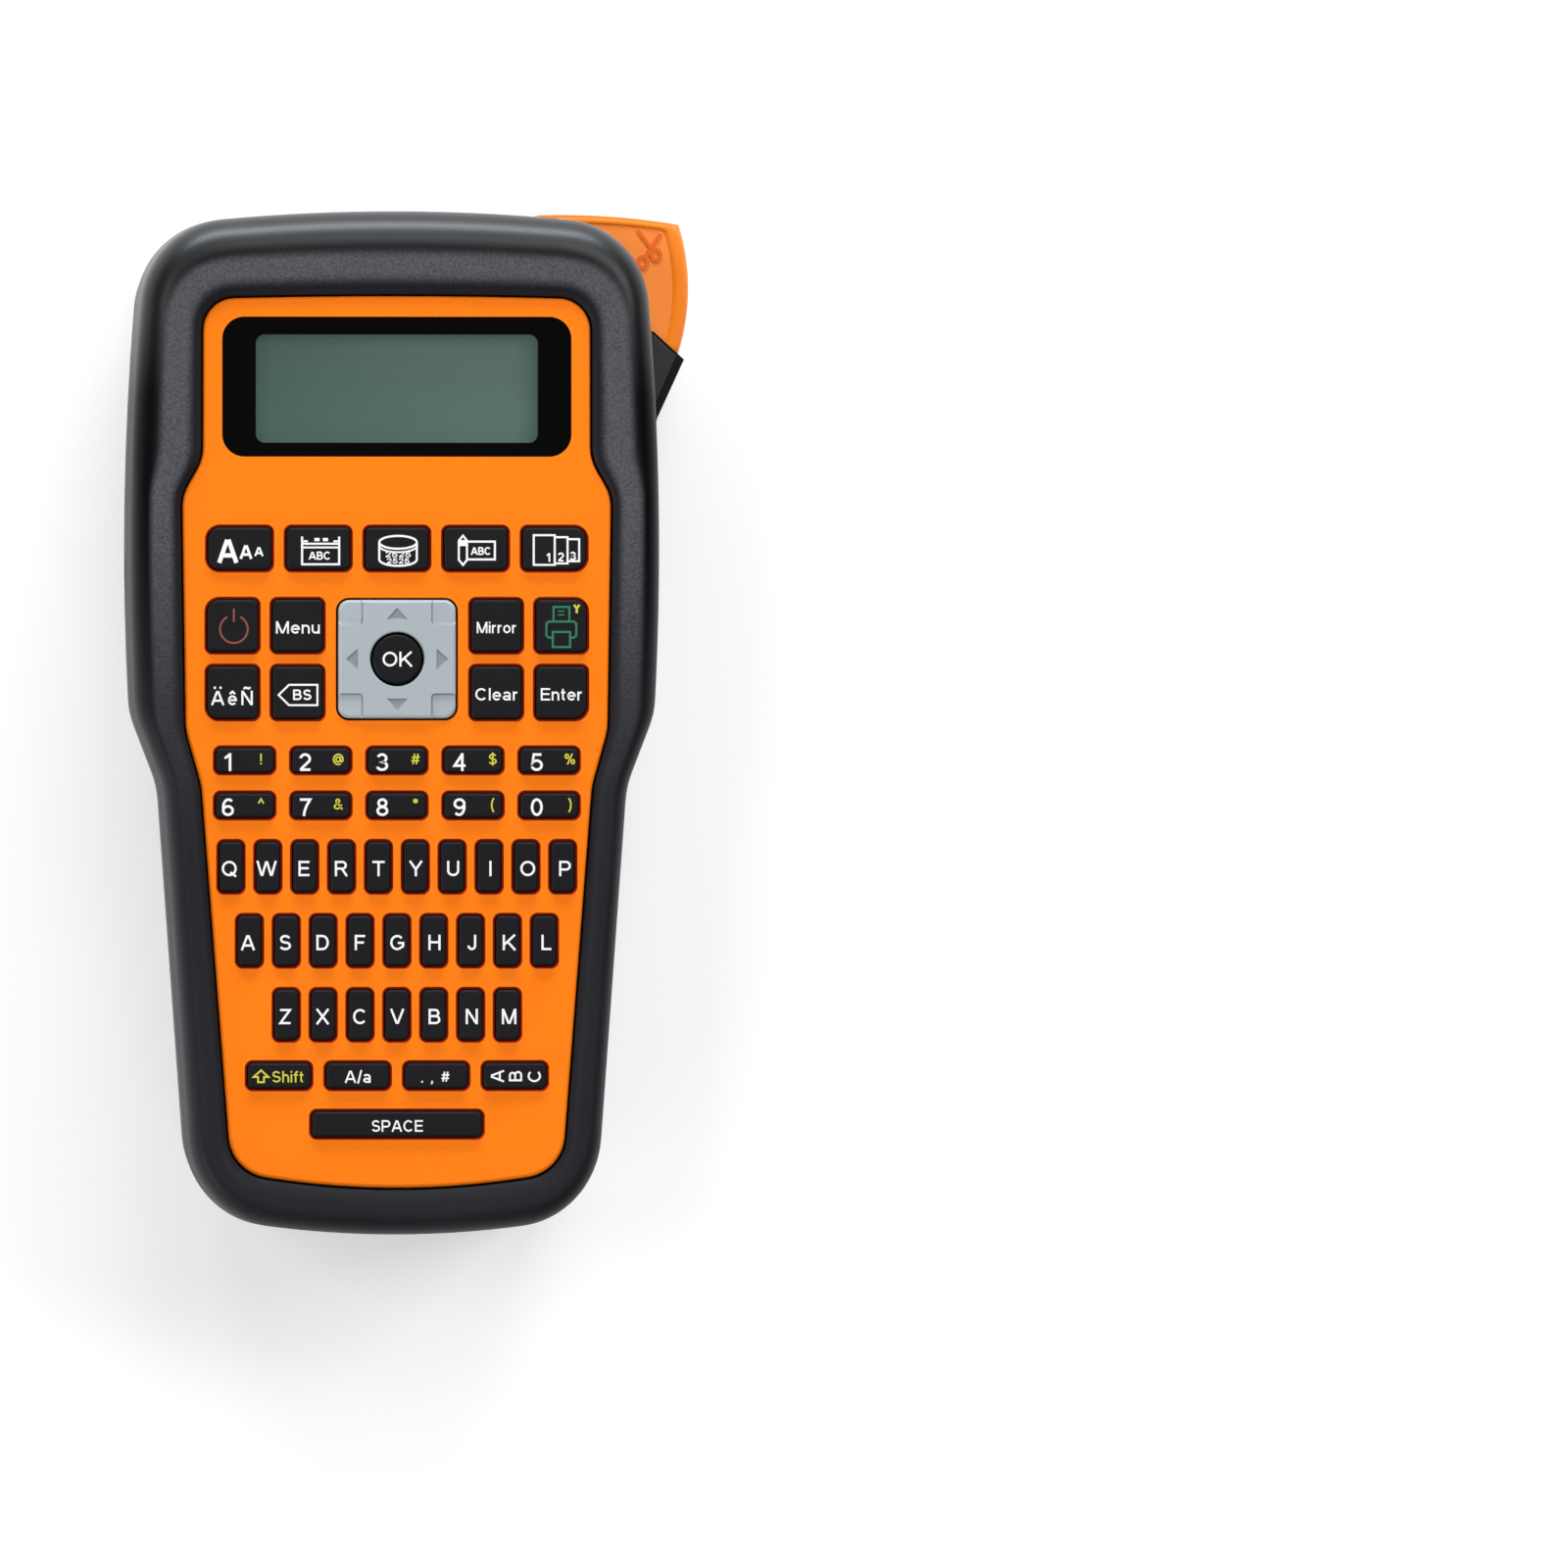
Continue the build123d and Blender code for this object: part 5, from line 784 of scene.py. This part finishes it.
# each sign: its width, then the middle lines of its strokes as x, y pairs; a capital is 1000 high
glyphs = {
    "A": (920, *bigA),
    "B": (780, stem, path((75, 925), bow(440, 725, 200, 200, 90, -90), (75, 525)),
          path((400, 525), bow(460, 300, 240, 225, 90, -90), (75, 75))),
    "C": (900, bow(460, 500, 385, 425, 42, 318)),
    "D": (820, stem, path((75, 925), bow(400, 500, 345, 425, 90, -90), (75, 75))),
    "E": (720, stem, (75, 925, 720, 925), (75, 520, 670, 520), (75, 75, 720, 75)),
    "F": (680, stem, (75, 925, 680, 925), (75, 500, 600, 500)),
    "G": (920, path(bow(460, 500, 385, 425, 42, 312), (845, 270), (845, 470), (500, 470))),
    "H": (800, stem, (725, 0, 725, 1000), (75, 520, 725, 520)),
    "I": (150, stem),
    "J": (580, path((505, 1000), bow(290, 300, 215, 225, 0, -180))),
    "K": (840, stem, (800, 1000, 100, 360), (320, 560, 820, 0)),
    "L": (650, (75, 1000, 75, 75, 650, 75)),
    "M": (950, stem, (875, 0, 875, 1000), (90, 970, 455, 30), (860, 970, 495, 30)),
    "N": (800, *bigN),
    "O": (980, bow(490, 500, 415, 425)),
    "P": (780, stem, path((75, 925), bow(460, 680, 245, 245, 90, -90), (75, 435))),
    "Q": (980, bow(490, 500, 415, 425), (560, 260, 930, -20)),
    "R": (840, stem, path((75, 925), bow(500, 710, 215, 215, 90, -90), (75, 495)), (460, 495, 790, 0)),
    "S": (780, bigS),
    "T": (800, (0, 925, 800, 925), (400, 0, 400, 925)),
    "U": (800, path((75, 1000), bow(400, 370, 325, 295, 180, 360), (725, 1000))),
    "V": (900, (50, 1000, 430, 30), (850, 1000, 470, 30)),
    "W": (1300, (50, 1000, 330, 30), (630, 970, 360, 30), (670, 970, 940, 30), (1250, 1000, 970, 30)),
    "X": (880, (60, 0, 820, 1000), (60, 1000, 820, 0)),
    "Y": (900, (60, 1000, 460, 430), (840, 1000, 440, 430), (450, 450, 450, 0)),
    "Z": (780, (50, 925, 690, 925, 70, 75, 740, 75)),
    "a": (640, path(bow(310, 480, 225, 170, 160, 0), (535, 0)), bow(300, 215, 225, 140)),
    "e": (660, smallE),
    "f": (380, path((380, 925), bow(310, 780, 140, 145, 90, 180), (170, 0)), (0, 660, 360, 660)),
    "h": (600, stem, arch),
    "i": (150, short, (75, 860, 75, 1000)),
    "l": (150, stem),
    "n": (600, short, arch),
    "o": (660, bow(330, 360, 255, 290)),
    "r": (380, short, path((75, 380), bow(330, 400, 255, 250, 180, 85))),
    "t": (360, path((150, 930), bow(290, 200, 140, 125, 180, 275)), (0, 650, 340, 650)),
    "u": (600, (525, 0, 525, 725), path((75, 725), bow(300, 305, 225, 230, 180, 360))),
    "Ä": (920, *bigA, (260, 1130, 260, 1290), (660, 1130, 660, 1290)),
    "ê": (660, smallE, (140, 820, 335, 1000, 530, 820)),
    "Ñ": (800, *bigN, (160, 1140, 300, 1230, 500, 1150, 640, 1240)),
    "0": (680, bow(340, 500, 265, 425)),
    "1": (500, (370, 0, 370, 1000), (370, 940, 80, 710)),
    "2": (680, path(bow(340, 680, 260, 245, 170, -32), (80, 85)), (50, 75, 640, 75)),
    "3": (680, path(bow(320, 715, 235, 210, 160, -90), bow(320, 290, 275, 215, 90, -165))),
    "4": (700, (500, 0, 500, 1000), (500, 940, 70, 300, 680, 300)),
    "5": (680, path((600, 925), (170, 925), (100, 470), bow(330, 330, 280, 255, 128, -160))),
    "6": (680, bow(345, 310, 265, 235), bow(375, 500, 295, 425, 50, 195)),
    "7": (660, (40, 925, 610, 925, 420, 600, 300, 280, 260, 0)),
    "8": (680, bow(340, 730, 215, 195), bow(340, 290, 265, 215)),
    "9": (680, bow(335, 690, 265, 235), bow(305, 500, 295, 425, 230, 375)),
    "!": (150, (75, 290, 75, 1000), (75, 0, 75, 150)),
    "@": (1000, path(bow(500, 460, 430, 460, 300, 0), (900, 320), (800, 240), (710, 300), (700, 680)),
          bow(490, 460, 200, 220)),
    "#": (800, (170, 20, 330, 980), (470, 20, 630, 980), (20, 340, 740, 340), (60, 660, 780, 660)),
    "$": (780, bigS, (390, -100, 390, 1100)),
    "%": (950, bow(200, 750, 140, 180), bow(750, 250, 140, 180), (250, 0, 700, 1000)),
    "^": (560, (40, 550, 280, 960, 520, 550)),
    "&": (840, path((800, 20), (240, 680), bow(380, 780, 160, 145, 205, -40), (220, 460),
                     bow(330, 265, 255, 190, 140, 335), (720, 460))),
    "*": (500, (250, 1000, 250, 560), (50, 900, 450, 660), (50, 660, 450, 900)),
    "(": (340, bow(470, 400, 390, 720, 118, 242)),
    ")": (340, bow(-130, 400, 390, 720, 62, -62)),
    "/": (340, (30, -50, 310, 1030)),
    ".": (150, (75, 0, 75, 160)),
    ",": (160, (90, 160, 90, 0, 30, -140)),
}


def word(text, cap, at, wide=None, weight=legend.weight, turn=0.0, top=keyTop):
    # signs side by side, scaled to a cap height and centred on the point, each stroke in its own layer
    edges = np.cumsum([0.0] + [glyphs[sign][0] + legend.spacing for sign in text])
    full = edges[-1] - legend.spacing
    scale = np.array([wide / full if wide else cap / legend.cap, cap / legend.cap])
    c, s = math.cos(math.radians(turn)), math.sin(math.radians(turn))
    spin = np.array([[c, s], [-s, c]])
    lines = [(np.reshape(line, (-1, 2)) + [start - full / 2, -legend.cap / 2]) * scale @ spin
             for sign, start in zip(text, edges) for line in glyphs[sign][1:]]
    return [stroke(line, at, cap * weight, False, layer, top) for layer, line in enumerate(lines)]


def printLegend(name, body, finish, *groups):
    parts = [part for group in groups for part in group]
    meshPiece(name, *joined(parts), finish, body, None, None, False)


letterRows = (("letter_keys_upper", "QWERTYUIOP"), ("letter_keys_middle", "ASDFGHJKL"),
              ("letter_keys_lower", "ZXCVBNM"))
for (node, letters), y in zip(letterRows, keys.letterY):
    places = rowX(len(letters), keys.letterPitch)
    printLegend(node + "_legend", node, whiteInk,
                *[word(letter, keys.letterCap, (x, y + keys.drop)) for letter, x in zip(letters, places)])
digitRows = (("digit_keys_upper", "12345", "!@#$%"), ("digit_keys_lower", "67890", "^&*()"))
for (node, digits, signs), y in zip(digitRows, keys.digitY):
    for ending, ink, texts in (("_legend", whiteInk, digits), ("_marks", yellowInk, signs)):
        cap, *place = keys[ending]
        printLegend(node + ending, node, ink,
                    *[word(text, cap, np.add(place, (x, y))) for text, x in zip(texts, keys.digitX)])
wordKeys = (
    ("menu_key", "Menu", 2.5, -innerX, upperY, 8.9), ("mirror_key", "Mirror", 2.3, innerX, upperY, 8.0),
    ("clear_key", "Clear", 2.5, innerX, lowerY, 8.6), ("enter_key", "Enter", 2.5, outerX, lowerY, 8.4),
    ("space_key", "SPACE", 2.35, 0, keys.spaceY, 10.4),
)
for node, text, cap, x, y, wide in wordKeys:
    printLegend(node + "_legend", node, whiteInk, word(text, cap, (x, y + keys.drop), wide))

shiftX, caseX, signX, turnX = keys.modifierX
sizeX, frameX, wrapX, flagX, copyX = keys.functionX
modY, rowY = keys.modifierY, keys.functionY
# each icon: its key and ink, the key's middle, the shift of its strokes from there, its strokes (line,
# width, closed, layer) and its words (text, cap height, place, width, weight, turn, top)
icons = {
    "accentLegend": ("accent_key", whiteInk, (-outerX, lowerY), (0, 0), [],
                     [("Ä", 2.9, (-3.07, -1.1)), ("ê", 2.75, (-0.1, -1.18)), ("Ñ", 2.9, (2.87, -1.1))]),
    "okLegend": ("ok_key", whiteInk, (0, pad.centreY), (0, 0), [],
                 [("OK", 3.0, (0, 0), 6.0, legend.weight, 0.0, okTop)]),
    "backspaceLegend": (
        "backspace_key", whiteInk, (-innerX, lowerY), (0, -0.5),
        [((-3.9, 0, -1.8, 2.05, 3.95, 2.05, 3.95, -2.05, -1.8, -2.05), 0.38, True)],
        [("BS", 2.1, (0.9, -0.45), 3.7, 0.17)]),
    "powerLegend": ("power_key", redInk, (-outerX, upperY), (0.2, -0.7),
                    [(oval(2.8, 2.8, 118, 422, 48), 0.4), ((0, 4.1, 0, 1.45), 0.4)], []),
    "printLegend": (
        "print_key", greenInk, (outerX, upperY), (-0.1, 0),
        [((-1.5, 0.9, -1.5, 3.8, 1.7, 3.8, 1.7, 0.9), 0.42),
         ((-1.7, -2.4, -2.5, -2.4, -2.95, -1.95, -2.95, 0.4, -2.5, 0.85, 2.65, 0.85, 3.1, 0.4,
           3.1, -1.95, 2.65, -2.4, 1.9, -2.4), 0.42, False, 1),
         ((-1.65, -4.3, 1.85, -4.3, 1.85, -1.25, -1.65, -1.25), 0.42, True, 2),
         ((-0.6, 2.95, 0.7, 2.95), 0.28), ((-0.6, 2.2, 0.7, 2.2), 0.28)], []),
    "printMark": (
        "print_key", yellowInk, (outerX, upperY), (3.1, 3.4),
        [((-0.55, 0.85, 0, 0.1, 0, -0.85), 0.45), ((0.55, 0.85, 0, 0.1), 0.45, False, 1)], []),
    "shiftLegend": (
        "modifier_keys", yellowInk, (shiftX, modY), (-3.7, -0.15),
        [((0, 1.25, -1.5, -0.1, -0.6, -0.1, -0.6, -1.15, 0.6, -1.15, 0.6, -0.1, 1.5, -0.1),
          0.36, True)], [("Shift", 2.3, (1.7, -0.2), 6.4)]),
    "modifierLegend": (
        "modifier_keys", whiteInk, (0, modY), (0, 0), [],
        [("A/a", 2.5, (caseX, -0.2), 5.3), (".", 2.2, (signX - 2.9, -0.3)), (",", 2.2, (signX - 0.9, -0.3)),
         ("#", 2.1, (signX + 1.8, -0.2)),
         *((letter, 2.7, (turnX + x, -0.1), None, legend.weight, 90)
           for letter, x in (("A", -3.6), ("B", 0.1), ("C", 3.9)))]),
    "sizeLegend": ("text_size_key", whiteInk, (sizeX, rowY), (0, 0), [],
                   [("A", 4.8, (-2.43, -0.5), 4.0, 0.18), ("A", 2.8, (1.24, -0.7), 2.45, 0.19),
                    ("A", 1.85, (3.85, -0.62), 1.75, 0.2)]),
    "frameLegend": (
        "frame_key", whiteInk, (frameX, rowY), (0.42, 0),
        [((-3.75, 2.4, -3.75, -3.2, 3.75, -3.2, 3.75, 2.4), 0.42),
         ((-3.75, 0.95, 3.75, 0.95), 0.4, False, 1), ((-3.75, 0.2, 3.75, 0.2), 0.36, False, 2),
         ((-1.25, 1.8, -0.2, 1.8), 0.65), ((0.45, 1.8, 1.5, 1.8), 0.65),
         ((-3.5, 1.45, -2.6, 1.45), 0.4), ((2.6, 1.45, 3.5, 1.45), 0.4)],
        [("ABC", 1.6, (0.25, -1.45), 4.4, 0.19)]),
    "wrapLegend": (
        "wrap_key", whiteInk, (wrapX, rowY), (0.17, 0),
        [(oval(3.8, 1.3) + [0, 1.25], 0.42, True), (oval(3.8, 1.3, 190, 350, 24) + [0, 0.55], 0.34),
         (np.vstack([(-3.8, 1.25), oval(3.8, 1.3, 180, 360, 24) + [0, -2.2], (3.8, 1.25)]), 0.42,
          False, 1)],
        [("2525", 1.1, (0.17, -1.2), 5.2, 0.2), ("2525", 1.05, (0.17, -2.5), 4.6, 0.2)]),
    "flagLegend": (
        "flag_key", whiteInk, (flagX, rowY), (0, 0),
        [((-3.45, -2.3, -3.45, 1.6, -2.6, 2.6, -1.8, 1.6, -1.8, -2.3, -2.6, -3.3), 0.4, True),
         ((-2.62, 0.5, -2.62, 1.7), 1.3, False, 2),
         ((-1.8, 1.4, 3.85, 1.4, 3.85, -2.2, -1.8, -2.2), 0.42, False, 1)],
        [("ABC", 1.55, (1.04, -0.5), 4.0, 0.19)]),
    "copiesLegend": (
        "copies_key", whiteInk, (copyX, rowY), (0, 0),
        [((-4.2, -3.3, 0.05, -3.3, 0.05, 2.7, -4.2, 2.7), 0.4, True),
         ((0.05, 2.3, 2.65, 2.3, 2.65, -3.0, 0.05, -3.0), 0.4, False, 1),
         ((2.65, 1.9, 5.0, 1.9, 5.0, -2.55, 2.65, -2.55), 0.4, False, 2)],
        [("1", 1.75, (-1.25, -1.8), None, 0.19), ("2", 1.75, (1.3, -1.7), None, 0.19),
         ("3", 1.7, (3.75, -1.5), None, 0.19)]),
}
for name, (node, ink, middle, shift, lines, texts) in icons.items():
    strokes = [stroke(line, np.add(middle, shift), *rest) for line, *rest in lines]
    signs = [word(text, cap, np.add(middle, place), *rest) for text, cap, place, *rest in texts]
    printLegend(name, node, ink, strokes, *signs)
print("legends printed,", len(glyphs), "signs")


# cutter lever: raised rim, a scissors sign whose darker orange is painted shade of its relief, and a
# thin web over the blade
lever = Settings({
    "pivot": (18.2, 88.2), "radius": 43.2, "top": 24.0, "low": -18.0, "corner": 17.13, "rimHigh": 0.27,
    "outer": Settings({"inset": 0.5, "turn": 2.2, "top": ((59.0, 100.63), (47.0, 102.13), (34.5, 102.45))}),
    "inner": Settings({"inset": 3.3, "turn": 1.4, "top": ((56.33, 99.95), (45.5, 101.05), (35.0, 101.3))}),
    "profile": ((0.0, -0.3), (0.0, 0.0), (0.06, 0.12), (0.14, 0.45), (0.22, 0.83), (0.3, 1.0), (0.6, 1.0),
                (0.84, 0.96), (0.94, 0.7), (1.0, 0.2), (1.0, -0.3)),
    "count": 140, "arcSteps": 80, "topSteps": 60, "sinkShare": 0.02, "sinkLeast": 0.0004,
    "sign": Settings({"at": (53.3, 96.9), "wide": 0.8, "lift": 0.16, "step": 0.01}),
    "web": Settings({"radius": (38.2, 41.2), "last": (-15.7, -18.0), "root": -14.8, "low": 23.25,
                     "top": 23.99, "rows": 8}),
})


def leverRim(spec):
    # a low step with a sloped inner side, carried between an inner and an outer line that follow the
    # arc and turn in along the top edge; it sinks into the lever at both ends
    lines = []
    for side in (spec.inner, spec.outer):
        arc = np.radians(np.linspace(spec.low, spec.corner, spec.arcSteps))
        run = np.array(spec.pivot) + (spec.radius - side.inset) * circle(arc)
        edge = arcThrough(*side.top, spec.topSteps)
        edge[0] = run[-1]
        line = roundJoints([run, edge], (side.turn,))
        lines.append(walk(line, np.linspace(0, lengths(line)[-1], spec.count)))
    t = np.linspace(0, 1, spec.count)
    size = np.sqrt(np.clip(np.minimum(t, 1 - t) / spec.sinkShare, spec.sinkLeast, 1))[:, None]
    across, lift = np.array(spec.profile).T
    spots = lines[0][:, None] * (1 - across)[None, :, None] + lines[1][:, None] * across[None, :, None]
    height = spec.top + np.where(lift > 0, lift * spec.rimHigh, lift)[None] * size
    return lifted(spots, height)


def scissorsSign(spec, top):
    # two crossed blades with a ring at each handle
    strokes = [((-2.3, 3.1, 0.8, -1.05), False), ((2.4, 2.4, -0.8, -2.4), False),
               (oval(0.95, 1.05, count=24) + [1.4, -1.9], True),
               (oval(0.95, 1.1, count=24) + [-1.3, -3.4], True)]
    return [stroke(line, spec.at, spec.wide, closed, top=top + spec.lift + spec.step * k)
            for k, (line, closed) in enumerate(strokes)]


def leverWeb(spec, pivot):
    # a thin box over the blade: rows step out along the radius, each a section from the lever's end
    # to an angle that falls with the radius
    share = np.linspace(0, 1, spec.rows)[:, None]
    radius, last = (start + (stop - start) * share for start, stop in (spec.radius, spec.last))
    root = np.full_like(last, spec.root)
    angle = np.radians(np.concatenate([last, last, root, root], 1))
    height = np.array([[spec.low, spec.top, spec.top, spec.low]]) + 0 * radius
    spots = np.stack([pivot[0] + radius * np.cos(angle), pivot[1] + radius * np.sin(angle), height], -1)
    flat = spots.reshape(-1, 3)
    return flat, outward(flat, tubeFaces(spec.rows, False))


gridPiece("leverRim", leverRim(lever), False, finishes["leverRimOrange"], "lever", "lever")
printLegend("leverSign", "lever", finishes["leverSign"], scissorsSign(lever.sign, lever.top))
web = leverWeb(lever.web, lever.pivot)
meshPiece("leverWeb", *web, finishes["leverOrange"], "lever", "lever", None, False)
print("lever dressed")

guide = Settings({
    "corners": ((53.3, 79.44), (53.3, 62.23), (58.77, 74.41)), "round": 0.3, "turns": 9,
    "rings": ((0.0, 25.6), (0.0, 25.84), (0.06, 25.94), (0.2, 26.0)),
})


def guideCap(spec):
    # rings of a rounded triangle that draw in as they rise: each corner is where its two sides meet
    # once moved inward, with an arc swung between their outward normals
    corners = np.array(spec.corners)
    along = unit(np.roll(corners, -1, 0) - corners)
    after = -leftward(along)
    before = np.roll(after, 1, 0)
    inward = -np.linalg.solve(np.stack([before, after], 1), np.ones((3, 2, 1)))[..., 0]
    blend = np.linspace(0, 1, spec.turns)[None, :, None]
    swing = unit(before[:, None] * (1 - blend) + after[:, None] * blend)
    inset, height = np.array(spec.rings).T
    core = corners[None] + inward[None] * (inset[:, None, None] + spec.round)
    spots = (core[:, :, None] + spec.round * swing[None]).reshape(len(inset), -1, 2)
    points = lifted(spots, np.broadcast_to(height[:, None], spots.shape[:2]))
    around = spots.shape[1]
    quads = gridFaces(len(inset), around, False, True)
    rim = np.arange(around)
    return points.reshape(-1, 3), [*quads, rim[::-1], rim + around * (len(inset) - 1)]


# the cap's lighter grey paints the light falling on the guide's top face
meshPiece("guideCap", *guideCap(guide), finishes["guideCapLitGrey"], "case", "case", None, False)
print("guide dressed")


stage = Settings({"half": 2.2, "floorZ": -0.0006, "white": (0.62, 0.62, 0.62, 1.0), "glow": 0.45,
                  "rough": 0.9, "cloud": 6.0, "cloudShade": 0.99, "rows": 5, "world": 0.07})
floorFinish = Finish("floorPaper", Specular_IOR_Level=0.1, Emission_Strength=stage.glow)
floorCloud = floorFinish.cloud(stage.cloud)
floorTint = floorFinish.tint(floorCloud, shade(stage.white, stage.cloudShade), stage.white)
edge = np.linspace(-stage.half, stage.half, stage.rows) / mm
floorX, floorY = np.meshgrid(edge, edge, indexing="ij")
floorPoints = np.stack([floorX, floorY, np.full_like(floorX, stage.floorZ / mm)], -1).reshape(-1, 3)
floorQuads = gridFaces(stage.rows, stage.rows, False, False)[:, ::-1]
floor = meshPiece("floor", floorPoints, floorQuads, floorFinish.dress(floorTint, stage.rough), None, None)

world = bpy.data.worlds.new("studio")
bpy.context.scene.world = world
world.use_nodes = True
world.node_tree.nodes["Background"].inputs["Color"].default_value = (1.0, 1.0, 1.0, 1.0)
world.node_tree.nodes["Background"].inputs["Strength"].default_value = stage.world

lamps = {
    "overLeft": {"at": (-1.15, 0.2, 1.9), "size": (0.8, 0.8), "power": 13.5},
    "overRight": {"at": (1.3, 0.6, 1.65), "size": (0.8, 0.8), "power": 16.5},
    "overNear": {"at": (0.1, -1.2, 1.9), "size": (0.9, 0.7), "power": 5.5},
    "overFar": {"at": (0.4, 1.1, 1.9), "size": (0.9, 0.7), "power": 11.0},
    "topStrip": {"at": (0.0, 1.6, 0.44), "size": (1.6, 0.42), "power": 38.0, "tone": (0.86, 0.93, 1.0)},
    "leftStrip": {"at": (-1.4, -0.9, 0.25), "size": (1.0, 0.3), "power": 18.0},
}
for name, spec in lamps.items():
    data = bpy.data.lights.new(name, "AREA")
    data.shape = "RECTANGLE"
    data.size, data.size_y = spec["size"]
    data.energy, data.color = spec["power"], spec.get("tone", (1.0, 1.0, 1.0))
    lamp = bpy.data.objects.new(name, data)
    bpy.context.scene.collection.objects.link(lamp)
    lamp.location = x, y, z = spec["at"]
    lamp.rotation_euler = (math.atan2(math.hypot(x, y), z), 0.0, math.atan2(y, x) + math.pi / 2)

shot = Settings({"far": 8.0, "lean": 4.06, "face": (0.0, 0.0, 0.0576), "pixel": (405.0, 737.5),
                 "image": 1600.0, "mmPerPixel": 0.198, "sensor": 36.0, "clip": 50.0})
cameraData = bpy.data.cameras.new("camera")
cameraData.sensor_width = shot.sensor
cameraData.lens = shot.sensor * shot.far / (shot.mmPerPixel * mm * shot.image)
cameraData.clip_end = shot.clip
camera = bpy.data.objects.new("camera", cameraData)
bpy.context.scene.collection.objects.link(camera)
lean = math.radians(shot.lean)
rightward = np.array([math.cos(lean), 0.0, math.sin(lean)])
backward = np.array([-math.sin(lean), 0.0, math.cos(lean)])
aside, above = (np.array(shot.pixel) - shot.image / 2) * shot.mmPerPixel * mm
aim = np.array(shot.face) - rightward * aside + np.array([0.0, above, 0.0])
camera.location = aim + backward * shot.far
camera.rotation_euler = (0.0, -lean, 0.0)
bpy.context.scene.camera = camera
bpy.context.scene.view_settings.view_transform = "Standard"
bpy.context.scene.view_settings.look = "None"
print("stage set")
